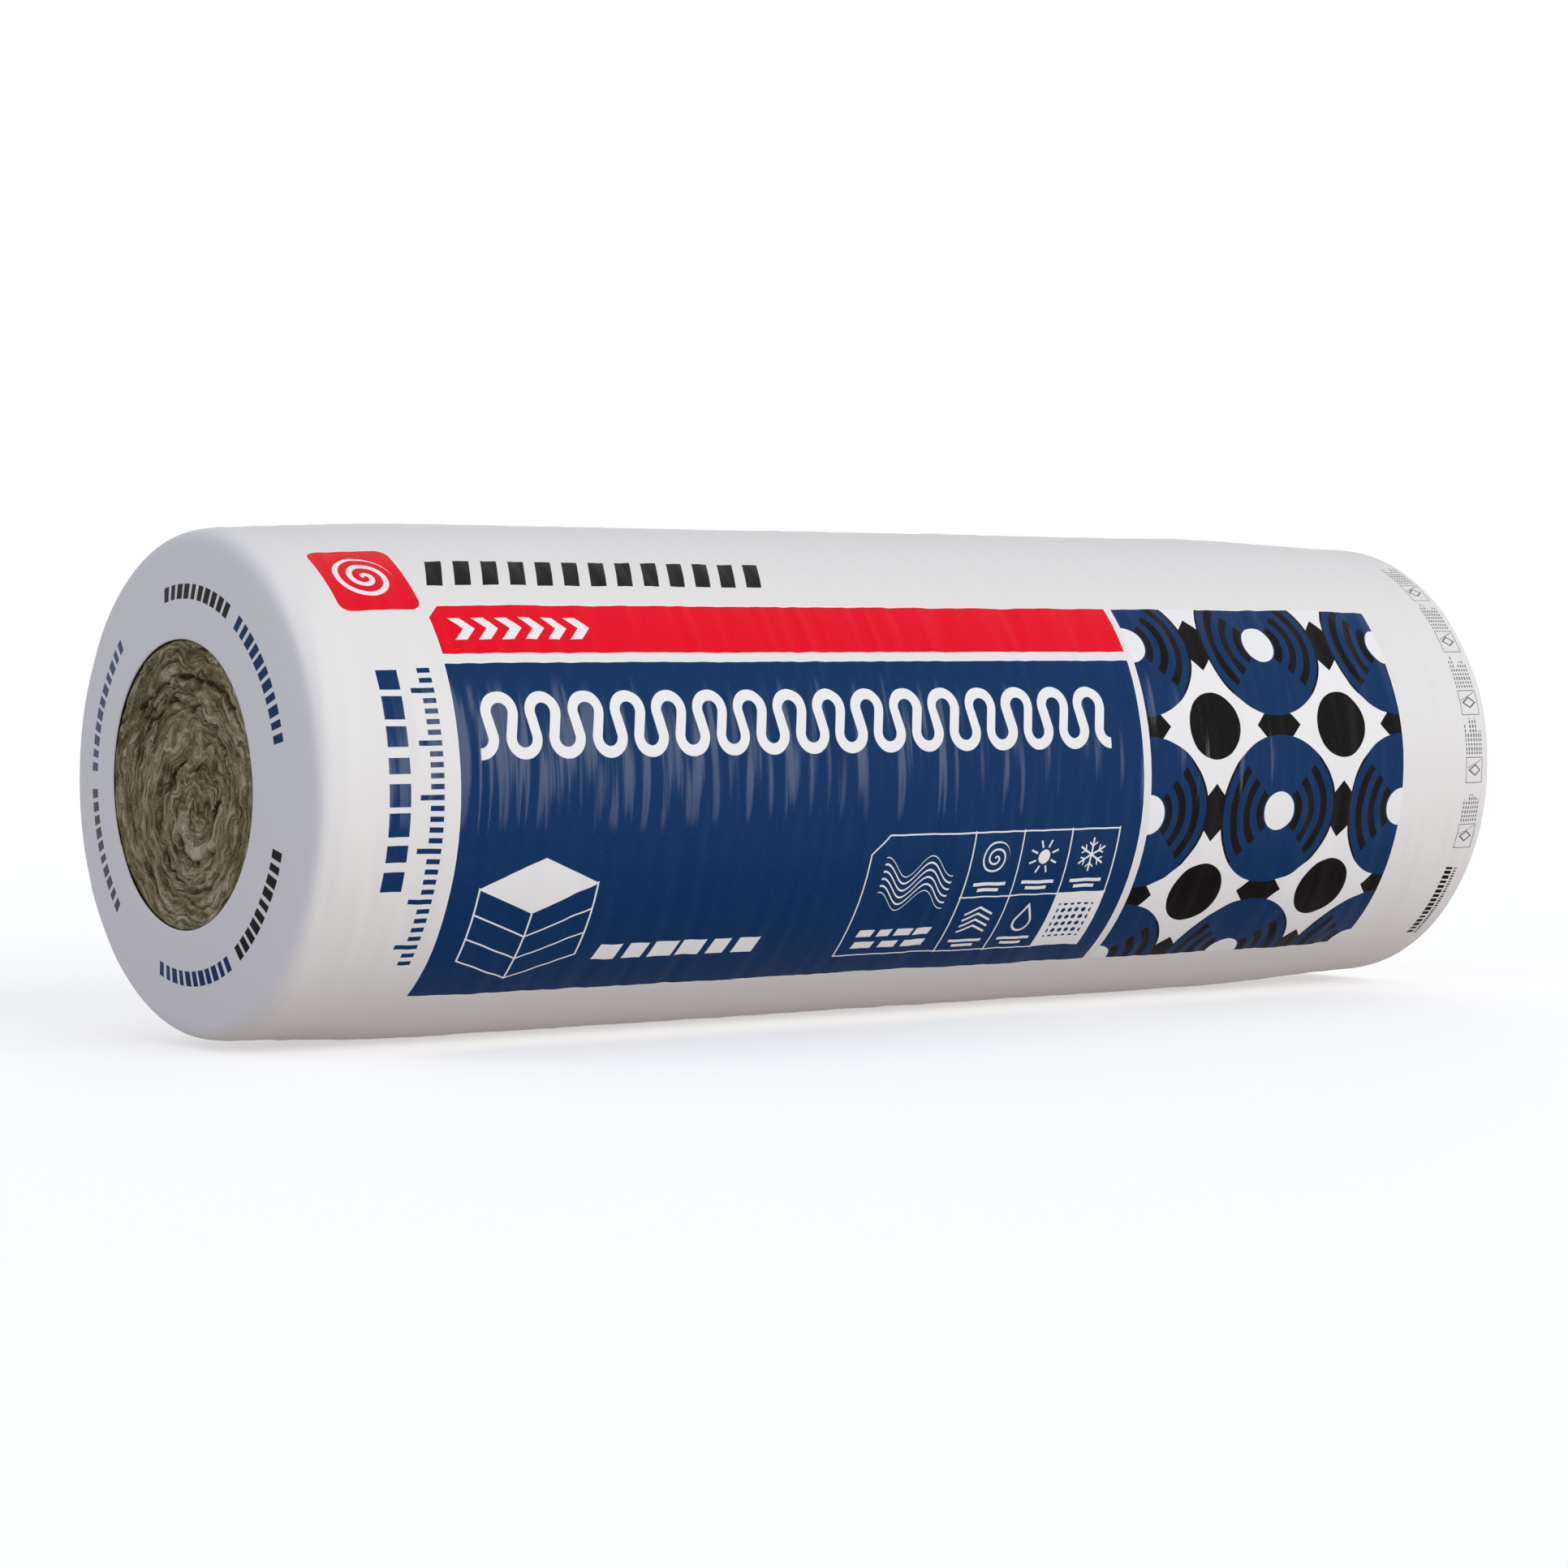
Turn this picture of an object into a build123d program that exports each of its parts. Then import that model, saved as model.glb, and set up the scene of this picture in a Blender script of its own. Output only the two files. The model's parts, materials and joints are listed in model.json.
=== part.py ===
from build123d import *
from dataclasses import dataclass
import os

# A roll of mineral-wool insulation, wrapped in plastic film and lying on its side.
# X runs along the roll, with the near end at -X. +Z is up, and Z = 0 is the floor.
# All sizes are in millimetres.

# The rolled mat
mat_width = 1220.0
wool_radius = 201.2
turn_thickness = 31.0
core_radius = 30.0
core_offset = 37.6
core_side_angle = 225.0

# Shoulders that the film hides are turned in a few straight bevels; only its outside is round
hidden_bevels = 3

# The seams that show where one turn lies on the next
seam_width = 2.4
seam_depth = 4.0

# The narrow slit at the core, where the mat's inner end doesn't quite close up
core_slit_length = 16.0
core_slit_width = 3.6
core_slit_angle = 160.0

# The wool that shows in each opening stands a little behind the wool that the film holds back
wool_setback = 1.7
setback_slope = 4.0

# The film, about 0.1 mm thick in the real roll
film_thickness = 1.0
film_clearance = 0.3
opening_radius = 111.5


@dataclass(frozen=True)
class RollEnd:
    """How the wrapped roll is rounded at one end, measured on the wool.

    The roll starts to narrow swell_length from its end, has lost swell_drop of its radius
    by the end, and turns over a round shoulder into the flat end face.
    """

    side: int
    shoulder_radius: float
    swell_length: float
    swell_drop: float

    def face_at(self):
        """Where the flat end face lies along X."""
        return self.side * mat_width / 2

    def swell_at(self):
        """Where along X the roll starts to narrow."""
        return self.side * (mat_width / 2 - self.swell_length)

    def corner(self):
        """The corner between the side and the end face, before it is rounded."""
        return (self.face_at(), wool_radius - self.swell_drop)

    def outline(self):
        """The narrowing side and the flat end face, from the full radius to the axis."""
        side = TangentArc((self.swell_at(), wool_radius), self.corner(), tangent=(self.side, 0))
        return [side, Line(self.corner(), (self.face_at(), 0))]

    def flat_radius(self):
        """How far from the axis the end face is sure to be flat."""
        return wool_radius - self.swell_drop - self.shoulder_radius


near_end = RollEnd(side=-1, shoulder_radius=30.0, swell_length=225.0, swell_drop=5.6)
far_end = RollEnd(side=1, shoulder_radius=24.0, swell_length=240.0, swell_drop=7.0)
both_ends = (near_end, far_end)


def roll_section():
    """Half of the roll's section, from the axis to the outside, in the XY plane."""
    top = Line((near_end.swell_at(), wool_radius), (far_end.swell_at(), wool_radius))
    axis = Line((near_end.face_at(), 0), (far_end.face_at(), 0))
    section = make_face([*near_end.outline(), top, *far_end.outline(), axis])
    for end in both_ends:
        corner = section.vertices().sort_by_distance(end.corner())[0]
        section = fillet(corner, end.shoulder_radius)
    return section


def bevelled(section):
    """A section with its round shoulders, the tight arcs in it, cut into straight bevels."""
    tight = [e for e in section.edges().filter_by(GeomType.CIRCLE) if e.radius < wool_radius]
    edges = [edge for edge in section.edges() if edge not in tight]
    for arc in tight:
        edges.append(Polyline([arc @ (n / hidden_bevels) for n in range(hidden_bevels + 1)]))
    return make_face(edges)


def turned(section):
    """A half section, stood up in the XZ plane and turned about the roll's axis."""
    return revolve(Plane.XZ * section, Axis.X)


def seam_crossing(half_turn):
    """Where the spiral seam crosses the line through the core and the roll's axis.

    The distance is measured from the roll's axis, towards the core. The core lies off the
    axis, so the spiral's centre drifts back to the axis as its radius grows.
    """
    radius = core_radius + turn_thickness * half_turn / 2
    centre = core_offset * (1 - radius / wool_radius)
    return centre + radius * (-1) ** half_turn


def half_turns(radius):
    """How many half turns the seam makes from the core until it reaches a radius."""
    return int(2 * (radius - core_radius) / turn_thickness)


def seam_arc(half_turn):
    """Half a turn of the spiral seam, in the YZ plane."""
    start = seam_crossing(half_turn)
    stop = seam_crossing(half_turn + 1)
    arc = CenterArc((0, 0), abs(start - stop) / 2, 180 * (half_turn % 2), -180)
    return Rot(0, 0, core_side_angle) * Pos((start + stop) / 2, 0) * arc


def turn_seam(end):
    """The groove between the turns of one end, out to where the end face stops being flat."""
    seam = trace([seam_arc(n) for n in range(half_turns(end.flat_radius()))], seam_width)
    inwards = -end.side * (wool_setback + seam_depth)
    return extrude(Plane.YZ.offset(end.face_at()) * seam, inwards)


def core_slit():
    """The slit at the core, on the first half turn of the seam, right through the roll."""
    first = seam_arc(0)
    spoke = Pos(first.arc_center.X, first.arc_center.Y) * Rot(0, 0, core_slit_angle)
    slot = spoke * Pos(first.radius, 0) * Rot(0, 0, 90) * SlotOverall(core_slit_length, core_slit_width)
    return extrude(Plane.YZ.offset(near_end.face_at()) * slot, mat_width)


def end_dish(end):
    """The shallow round hollow that sets the open wool back from the film, at one end."""
    dish = Cone(opening_radius - setback_slope, opening_radius, wool_setback)
    outwards = Plane((end.face_at(), 0, 0), z_dir=(end.side, 0, 0))
    return outwards * Pos(0, 0, -wool_setback / 2) * dish


def make_wool_roll():
    """The rolled mat, as one turned solid with its seams and its core slit."""
    dishes = [end_dish(end) for end in both_ends]
    seams = [turn_seam(end) for end in both_ends]
    return turned(bevelled(roll_section())) - dishes - seams - core_slit()


def make_film_wrapper():
    """The film: a sleeve drawn in over both shoulders, with a round opening at each end."""
    inside = bevelled(offset(roll_section(), film_clearance, kind=Kind.INTERSECTION))
    outside = offset(roll_section(), film_clearance + film_thickness, kind=Kind.INTERSECTION)
    reach = 2 * (mat_width + wool_radius)
    beyond_opening = Pos(0, opening_radius) * Rectangle(reach, reach, align=(Align.CENTER, Align.MIN))
    return turned((outside - inside) & beyond_opening)


def main():
    """Write one STEP file for each piece of the roll, lying on the floor."""
    os.makedirs("parts", exist_ok=True)
    lift = wool_radius + film_clearance + film_thickness
    pieces = {"wool_roll": make_wool_roll(), "film_wrapper": make_film_wrapper()}
    for name, piece in pieces.items():
        export_step(Pos(0, 0, lift) * piece, f"parts/{name}.step")


main()
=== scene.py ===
"""The looks of an insulation roll: a rolled mineral-wool mat in a printed film sleeve.

Lengths are in metres in the model's own frame: X runs along the roll, Z is up and the floor
is at Z = 0. The print is planned on the flattened film, in millimetres.
"""

from __future__ import annotations

import json
import logging
import math
from dataclasses import dataclass
from enum import Enum
from typing import Any, ClassVar, Iterator, Protocol, Union

import bpy
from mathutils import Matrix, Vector, noise

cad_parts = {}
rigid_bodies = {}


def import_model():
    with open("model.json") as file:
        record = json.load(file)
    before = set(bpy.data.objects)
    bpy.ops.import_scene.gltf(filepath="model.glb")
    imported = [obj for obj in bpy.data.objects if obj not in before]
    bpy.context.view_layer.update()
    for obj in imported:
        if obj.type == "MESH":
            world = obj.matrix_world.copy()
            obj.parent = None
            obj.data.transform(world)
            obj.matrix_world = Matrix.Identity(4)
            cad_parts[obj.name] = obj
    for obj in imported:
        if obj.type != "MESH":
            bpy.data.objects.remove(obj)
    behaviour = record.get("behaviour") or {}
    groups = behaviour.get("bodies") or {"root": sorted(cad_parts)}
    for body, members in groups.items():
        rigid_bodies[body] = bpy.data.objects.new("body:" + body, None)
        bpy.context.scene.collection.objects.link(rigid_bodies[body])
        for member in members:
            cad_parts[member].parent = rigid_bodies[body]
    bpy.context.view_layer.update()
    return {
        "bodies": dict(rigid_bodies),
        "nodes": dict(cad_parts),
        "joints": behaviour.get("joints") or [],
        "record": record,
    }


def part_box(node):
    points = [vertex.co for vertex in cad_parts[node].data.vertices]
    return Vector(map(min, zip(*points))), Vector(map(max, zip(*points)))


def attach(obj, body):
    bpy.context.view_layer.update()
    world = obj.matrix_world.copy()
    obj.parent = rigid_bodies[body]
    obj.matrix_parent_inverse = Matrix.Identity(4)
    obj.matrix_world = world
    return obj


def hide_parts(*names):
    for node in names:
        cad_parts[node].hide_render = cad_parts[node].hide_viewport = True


log = logging.getLogger("insulation_roll")

MM = 0.001

Colour = tuple[float, float, float, float]
Point = tuple[float, float, float]
Operand = Union["Signal", float]
WoolPoint = tuple[Point, float, float]


def paint(red: float, green: float, blue: float) -> Colour:
    """An opaque colour from its linear red, green and blue."""
    return (red, green, blue, 1.0)


PURE_WHITE = paint(1.0, 1.0, 1.0)


class Signal:
    """A number that varies over a surface. Arithmetic on it adds Math nodes."""

    def __init__(self, bench: NodeBench, socket: bpy.types.NodeSocket) -> None:
        """Wraps one output of a node."""
        self.bench = bench
        self.socket = socket

    def __add__(self, other: Operand) -> Signal:
        """This signal plus another value."""
        return self.bench.math("ADD", self, other)

    def __radd__(self, other: Operand) -> Signal:
        """Another value plus this signal."""
        return self.bench.math("ADD", other, self)

    def __sub__(self, other: Operand) -> Signal:
        """This signal less another value."""
        return self.bench.math("SUBTRACT", self, other)

    def __rsub__(self, other: Operand) -> Signal:
        """Another value less this signal."""
        return self.bench.math("SUBTRACT", other, self)

    def __mul__(self, other: Operand) -> Signal:
        """This signal times another value."""
        return self.bench.math("MULTIPLY", self, other)

    def __rmul__(self, other: Operand) -> Signal:
        """Another value times this signal."""
        return self.bench.math("MULTIPLY", other, self)

    def __truediv__(self, other: Operand) -> Signal:
        """This signal divided by another value."""
        return self.bench.math("DIVIDE", self, other)

    def __neg__(self) -> Signal:
        """This signal with its sign changed."""
        return self.bench.math("MULTIPLY", self, -1.0)

    def __abs__(self) -> Signal:
        """This signal without its sign."""
        return self.bench.math("ABSOLUTE", self)

    def __mod__(self, period: float) -> Signal:
        """What is left of this signal after whole periods, from 0 up to the period."""
        return self.bench.math("FLOORED_MODULO", self, period)

    def at_least(self, other: Operand) -> Signal:
        """The larger of this signal and another value."""
        return self.bench.math("MAXIMUM", self, other)

    def at_most(self, other: Operand) -> Signal:
        """The smaller of this signal and another value."""
        return self.bench.math("MINIMUM", self, other)

    def below(self, other: Operand) -> Signal:
        """1 where this signal is under another value, otherwise 0."""
        return self.bench.math("LESS_THAN", self, other)

    def clamped(self) -> Signal:
        """This signal, held between 0 and 1."""
        return self.bench.math("ADD", self, 0.0, clamp=True)

    def centred(self, period: float) -> Signal:
        """This signal folded into one period, counted from the period's middle."""
        return self % period - period / 2

    def whole(self) -> Signal:
        """The whole number below this signal."""
        return self.bench.math("FLOOR", self)

    def sine(self) -> Signal:
        """The sine of this signal in radians."""
        return self.bench.math("SINE", self)

    def cosine(self) -> Signal:
        """The cosine of this signal in radians."""
        return self.bench.math("COSINE", self)

    def direction(self, across: Operand) -> Signal:
        """The angle in radians of the point that lies this far up and that far across."""
        return self.bench.math("ARCTAN2", self, across)


class NodeBench:
    """One node tree, and the few ways of adding nodes to it."""

    MIX_FACTOR: ClassVar[int] = 0
    MIX_COLOURS: ClassVar[tuple[int, int]] = (6, 7)
    MIX_RESULT: ClassVar[int] = 2

    def __init__(self, tree: bpy.types.NodeTree) -> None:
        """Clears a node tree to build in."""
        self.tree = tree
        tree.nodes.clear()

    def node(
        self,
        kind: str,
        settings: dict[str, Any] | None = None,
        inputs: dict[str | int, Any] | None = None,
    ) -> bpy.types.Node:
        """Adds a node.

        Args:
            kind: the node's type, such as ShaderNodeMath.
            settings: the node's own settings, which are set first. "stops" is a ramp's list
                of places and colours.
            inputs: a value or a link for each socket, by its name or number.

        Returns:
            The new node.
        """
        made = self.tree.nodes.new(kind)
        for name, value in (settings or {}).items():
            if name == "stops":
                self._set_stops(made.color_ramp, value)
            else:
                setattr(made, name, value)
        for key, value in (inputs or {}).items():
            socket = made.inputs[key]
            if isinstance(value, Signal):
                value = value.socket
            if isinstance(value, bpy.types.NodeSocket):
                self.tree.links.new(value, socket)
            else:
                socket.default_value = value
        return made

    @staticmethod
    def _set_stops(ramp: bpy.types.ColorRamp, stops: list[tuple[float, Colour]]) -> None:
        """Gives a colour ramp exactly these stops.

        Args:
            ramp: the ramp of a new node, which has two stops.
            stops: at least two places from 0 to 1, each with its colour.
        """
        while len(ramp.elements) < len(stops):
            ramp.elements.new(1.0)
        for element, (place, colour) in zip(ramp.elements, stops):
            element.position = place
            element.color = colour

    def signal(self, node: bpy.types.Node, output: str | int = 0) -> Signal:
        """One of a node's outputs as a signal."""
        return Signal(self, node.outputs[output])

    def math(self, operation: str, *operands: Operand, clamp: bool = False) -> Signal:
        """One Math node on the operands, in their order."""
        settings = {"operation": operation, "use_clamp": clamp}
        return self.signal(self.node("ShaderNodeMath", settings, dict(enumerate(operands))))

    def scaled(self, value: Signal, scale: float, offset: float, clamp: bool = False) -> Signal:
        """A value times a scale, plus an offset, in one node."""
        return self.math("MULTIPLY_ADD", value, scale, offset, clamp=clamp)

    def vector(self, x: Operand, y: Operand, z: Operand) -> bpy.types.NodeSocket:
        """A vector from its three parts."""
        return self.node("ShaderNodeCombineXYZ", None, {0: x, 1: y, 2: z}).outputs[0]

    def length(self, x: Operand, y: Operand) -> Signal:
        """How far the point (x, y) lies from the middle."""
        inputs = {0: self.vector(x, y, 0.0)}
        return self.signal(self.node("ShaderNodeVectorMath", {"operation": "LENGTH"}, inputs), "Value")

    def grain(
        self, place: tuple[Signal, ...], scales: Point, detail: float = 2.0, roughness: float = 0.5
    ) -> Signal:
        """Makes smooth noise from 0 to 1.

        Args:
            place: X, Y and Z in metres, or signals that stand in for them.
            scales: how many grains there are to a metre along each.
            detail: how many finer layers of noise are added.
            roughness: how strongly the finer layers count.

        Returns:
            The noise.
        """
        scaled = self.vector(*(part * scale for part, scale in zip(place, scales)))
        inputs = {"Vector": scaled, "Scale": 1.0, "Detail": detail, "Roughness": roughness}
        return self.signal(self.node("ShaderNodeTexNoise", None, inputs), "Fac")

    def chance(self, number: Signal) -> Signal:
        """A random value from 0 to 1 that belongs to each whole number."""
        settings = {"noise_dimensions": "1D"}
        return self.signal(self.node("ShaderNodeTexWhiteNoise", settings, {"W": number}), "Value")

    def blend(self, factor: Operand, below: Any, above: Any) -> bpy.types.NodeSocket:
        """Two colours mixed: the first where the factor is 0, the second where it is 1."""
        inputs = {self.MIX_FACTOR: factor, self.MIX_COLOURS[0]: below, self.MIX_COLOURS[1]: above}
        return self.node("ShaderNodeMix", {"data_type": "RGBA"}, inputs).outputs[self.MIX_RESULT]

    def object_place(self) -> tuple[Signal, Signal, Signal]:
        """Finds the surface's place in the model's frame.

        Returns:
            X, Y and Z in metres.
        """
        place = self.node("ShaderNodeTexCoord").outputs["Object"]
        parts = self.node("ShaderNodeSeparateXYZ", None, {0: place})
        x, y, z = (self.signal(parts, axis) for axis in "XYZ")
        return x, y, z

    def shader(self, kind: str, inputs: dict[str | int, Any] | None = None) -> bpy.types.NodeSocket:
        """The output of a new shader node."""
        return self.node(kind, None, inputs).outputs[0]

    def either(self, factor: Operand, first: Any, second: Any) -> bpy.types.NodeSocket:
        """Two shaders mixed: the first where the factor is 0, the second where it is 1."""
        return self.shader("ShaderNodeMixShader", {0: factor, 1: first, 2: second})

    def both(self, first: Any, second: Any) -> bpy.types.NodeSocket:
        """Two shaders added together."""
        return self.shader("ShaderNodeAddShader", {0: first, 1: second})

    def glow(self, colour: Colour, strength: float) -> bpy.types.NodeSocket:
        """A shader that gives out light."""
        return self.shader("ShaderNodeEmission", {"Color": colour, "Strength": strength})

    def surface(self, shader: bpy.types.NodeSocket) -> None:
        """Makes a shader the material's surface."""
        self.node("ShaderNodeOutputMaterial", None, {"Surface": shader})

    def skin(self, colour: Any, roughness: Operand, specular: float, height: Signal, depth: float) -> None:
        """Makes a plain surface with fine relief the material's surface.

        Args:
            colour: its colour, as a link.
            roughness: how rough it is, from 0 to 1.
            specular: how strongly it mirrors, the same all over.
            height: the fine relief.
            depth: how many metres a height of 1 stands for.
        """
        bump = self.node("ShaderNodeBump", None, {"Strength": 1.0, "Distance": depth, "Height": height})
        inputs = {
            "Base Color": colour,
            "Roughness": roughness,
            "Specular IOR Level": specular,
            "Normal": bump.outputs["Normal"],
        }
        self.surface(self.shader("ShaderNodeBsdfPrincipled", inputs))


def new_material(name: str) -> tuple[bpy.types.Material, NodeBench]:
    """Makes an empty material.

    Args:
        name: the material's name.

    Returns:
        The material and the bench for its nodes.
    """
    material = bpy.data.materials.new(name)
    material.use_nodes = True
    return material, NodeBench(material.node_tree)


def new_mesh(name: str, points: list[Point], faces: list[tuple[int, ...]]) -> bpy.types.Object:
    """Makes an object from points and faces, and puts it in the scene.

    Args:
        name: the name of the object and of its mesh.
        points: where its points are.
        faces: each face's point numbers.

    Returns:
        The new object, with smooth shading.
    """
    mesh = bpy.data.meshes.new(name)
    mesh.from_pydata(points, [], faces)
    mesh.shade_smooth()
    thing = bpy.data.objects.new(name, mesh)
    bpy.context.scene.collection.objects.link(thing)
    return thing


@dataclass(frozen=True)
class RollSize:
    """The roll's main sizes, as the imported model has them."""

    radius: float
    half_length: float
    opening_radius: float

    @classmethod
    def measured(cls, nodes: dict[str, bpy.types.Object]) -> RollSize:
        """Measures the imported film.

        Args:
            nodes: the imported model's nodes by name.

        Returns:
            The sizes that the scene's pieces are built from.
        """
        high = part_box("film_wrapper")[1]
        radius = high.z / 2
        rims = [math.hypot(v.co.y, v.co.z - radius) for v in nodes["film_wrapper"].data.vertices]
        return cls(radius, high.x, min(rims))

    def point(self, along: float, out: float, angle: float) -> Point:
        """The point so far along the axis and out from it, at an angle from the front side up."""
        return (along, -out * math.cos(angle), self.radius + out * math.sin(angle))


class Ink(Enum):
    """The colours printed on the film."""

    FILM = paint(0.818, 0.810, 0.798)
    WHITE = paint(0.870, 0.870, 0.875)
    BLUE = paint(0.0010, 0.0310, 0.1180)
    RED = paint(0.830, 0.0010, 0.0160)
    BLACK = paint(0.0020, 0.0010, 0.0010)
    GREY = paint(0.150, 0.150, 0.160)


@dataclass(frozen=True)
class Area:
    """An upright rectangle of the print, in millimetres along the roll and up round it."""

    left: float
    right: float
    low: float
    high: float

    def middle(self) -> tuple[float, float]:
        """The rectangle's centre."""
        return (self.left + self.right) / 2, (self.low + self.high) / 2

    def halves(self) -> tuple[float, float]:
        """Half of the rectangle's width and height."""
        return (self.right - self.left) / 2, (self.high - self.low) / 2


class PrintPlate:
    """The film's print while it is being laid down, ink over ink.

    Distances are signed and in millimetres, with a shape's inside below 0.
    """

    EDGE: ClassVar[float] = 0.35

    def __init__(self, bench: NodeBench, along: Signal, up: Signal, out: Signal, turn: Signal) -> None:
        """Starts with bare film.

        Args:
            bench: the nodes of the film's material.
            along: millimetres along the roll from its middle.
            up: millimetres up round the roll from its front side.
            out: millimetres from the roll's axis.
            turn: degrees up round the roll from its front side.
        """
        self.bench = bench
        self.along = along
        self.up = up
        self.out = out
        self.turn = turn
        self.colour: Any = Ink.FILM.value

    def cover(self, distance: Signal) -> Signal:
        """How much of a point a shape covers, with a narrow soft edge."""
        return self.bench.scaled(distance, -1 / self.EDGE, 0.5, clamp=True)

    def lay(self, ink: Ink, distance: Signal) -> None:
        """Prints a shape in one ink over what is there."""
        self.colour = self.bench.blend(self.cover(distance), self.colour, ink.value)

    def lay_edged(self, ink: Ink, distance: Signal, edge: float) -> None:
        """Prints a shape with a thin white edge round it."""
        self.lay(Ink.WHITE, distance - edge)
        self.lay(ink, distance)

    def box(self, area: Area) -> Signal:
        """The distance to a rectangle."""
        return self.box_round(self.along, self.up, area)

    def box_round(self, across: Signal, up: Signal, area: Area) -> Signal:
        """The distance to a rectangle that is drawn in other coordinates."""
        (x, y), (half_width, half_height) = area.middle(), area.halves()
        return (abs(across - x) - half_width).at_least(abs(up - y) - half_height)

    def cut_corner(self, corner: tuple[float, float], cut: float, way: tuple[int, int]) -> Signal:
        """The distance to the line that takes a corner off.

        Args:
            corner: the sharp corner.
            cut: how far along each side the corner goes.
            way: the signs of the directions that point out of the shape there.

        Returns:
            The signed distance, above 0 beyond the line.
        """
        outward = (self.along - corner[0]) * way[0] + (self.up - corner[1]) * way[1]
        return (outward + cut) * math.sqrt(0.5)

    def row(self, place: Signal, pitch: float, slimmest: float, widest: float) -> Signal:
        """The distance to a row of bars of mixed widths, measured along the row.

        Args:
            place: where along the row a point is, in millimetres.
            pitch: from one bar's middle to the next.
            slimmest: the narrowest bar, as a share of the pitch.
            widest: the widest bar, as a share of the pitch.

        Returns:
            The signed distance to the nearest bar.
        """
        luck = self.bench.chance((place / pitch).whole())
        half_width = self.bench.scaled(luck, (widest - slimmest) * pitch / 2, slimmest * pitch / 2)
        return abs(place.centred(pitch)) - half_width


def stroke(distance: Signal, width: float) -> Signal:
    """The distance to a line of some width along a shape's edge."""
    return abs(distance) - width / 2


def stripes(place: Signal, pitch: float, width: float) -> Signal:
    """The distance to a row of like lines, one pitch apart, measured across them."""
    return abs(place.centred(pitch)) - width / 2


class Motif(Protocol):
    """Anything that can be printed on the film."""

    def lay(self, plate: PrintPlate) -> None:
        """Prints itself over what is there."""


@dataclass(frozen=True)
class LoopHatch:
    """The looping line that stands for insulation in drawings, as the panel's bold white title."""

    area: Area = Area(-467.0, 150.0, 21.2, 73.9)
    loops: int = 16
    line_width: float = 9.0
    lean: float = math.radians(12.0)

    def lay(self, plate: PrintPlate) -> None:
        """Prints the loops.

        Every second loop hangs from the bottom. A half loop is folded over onto a standing
        one, so that one arc and one leaning leg give the distance to them all.

        Args:
            plate: the print so far.
        """
        period = (self.area.right - self.area.left) / self.loops
        middle, (_, half_height) = self.area.middle()[1], self.area.halves()
        reach = half_height - self.line_width / 2
        sine, cosine = math.sin(self.lean), math.cos(self.lean)
        quarter = period / 4
        centre = (reach - quarter * cosine) / (1 + sine)
        radius = centre * sine + quarter * cosine
        height = plate.up - middle
        hanging = height.below(0.0)
        across = abs((plate.along - self.area.left + hanging * (period / 2)).centred(period))
        rise = abs(height) - centre
        beside = across * cosine - rise * sine
        beyond = (across * sine + rise * cosine).at_least(0.0)
        loop = plate.bench.length(beside, beyond) - radius
        plate.lay(Ink.WHITE, stroke(loop, self.line_width).at_least(plate.box(self.area)))


@dataclass(frozen=True)
class HatchedBar:
    """A row of slanted bars, in the place of a bold line above the band."""

    area: Area = Area(-472.0, -149.0, 172.8, 203.9)
    pitch: float = 24.85
    share: float = 0.58
    slant: float = 0.42

    def lay(self, plate: PrintPlate) -> None:
        """Prints the bars.

        Args:
            plate: the print so far.
        """
        middle = self.area.middle()[1]
        leaning = plate.along - self.area.left - (plate.up - middle) * self.slant
        ends = plate.box_round(leaning + self.area.left, plate.up, self.area)
        bars = stripes(leaning, self.pitch, self.share * self.pitch)
        plate.lay(Ink.BLACK, bars.at_least(ends))


@dataclass(frozen=True)
class RollPatch:
    """A red patch with a white spiral on it, the end of a rolled mat."""

    area: Area = Area(-556.0, -487.0, 148.1, 222.0)
    corner: float = 9.0
    halo: float = 1.0
    spiral_pitch: float = 11.0
    spiral_line: float = 4.6
    spiral_radius: float = 25.0

    def lay(self, plate: PrintPlate) -> None:
        """Prints the patch and its spiral.

        Args:
            plate: the print so far.
        """
        bench = plate.bench
        (x, y), (half_width, half_height) = self.area.middle(), self.area.halves()
        across, up = plate.along - x, plate.up - y
        inset_x = (abs(across) - (half_width - self.corner)).at_least(0.0)
        inset_y = (abs(up) - (half_height - self.corner)).at_least(0.0)
        patch = bench.length(inset_x, inset_y) - self.corner
        out = bench.length(across, up)
        turn = up.direction(across) * (self.spiral_pitch / math.tau)
        spiral = stripes(out + turn, self.spiral_pitch, self.spiral_line)
        plate.lay_edged(Ink.RED, patch, self.halo)
        plate.lay(Ink.WHITE, spiral.at_least(out - self.spiral_radius))


@dataclass(frozen=True)
class RedBand:
    """The red band over the panel, with a short row of white chevrons."""

    area: Area = Area(-485.0, 186.0, 105.7, 150.6)
    corner_cut: float = 11.0
    halo: float = 1.0
    chevrons: Area = Area(-465.0, -341.0, 118.0, 138.2)
    chevron_pitch: float = 20.6
    chevron_share: float = 0.5

    def lay(self, plate: PrintPlate) -> None:
        """Prints the band and its chevrons.

        Args:
            plate: the print so far.
        """
        corner = (self.area.left, self.area.high)
        band = plate.box(self.area).at_least(plate.cut_corner(corner, self.corner_cut, (-1, 1)))
        plate.lay_edged(Ink.RED, band, self.halo)
        middle = self.chevrons.middle()[1]
        leaning = plate.along - self.chevrons.left + abs(plate.up - middle)
        bars = stripes(leaning, self.chevron_pitch, self.chevron_share * self.chevron_pitch)
        ends = plate.box_round(leaning + self.chevrons.left, plate.up, self.chevrons)
        plate.lay(Ink.WHITE, bars.at_least(ends))


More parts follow.
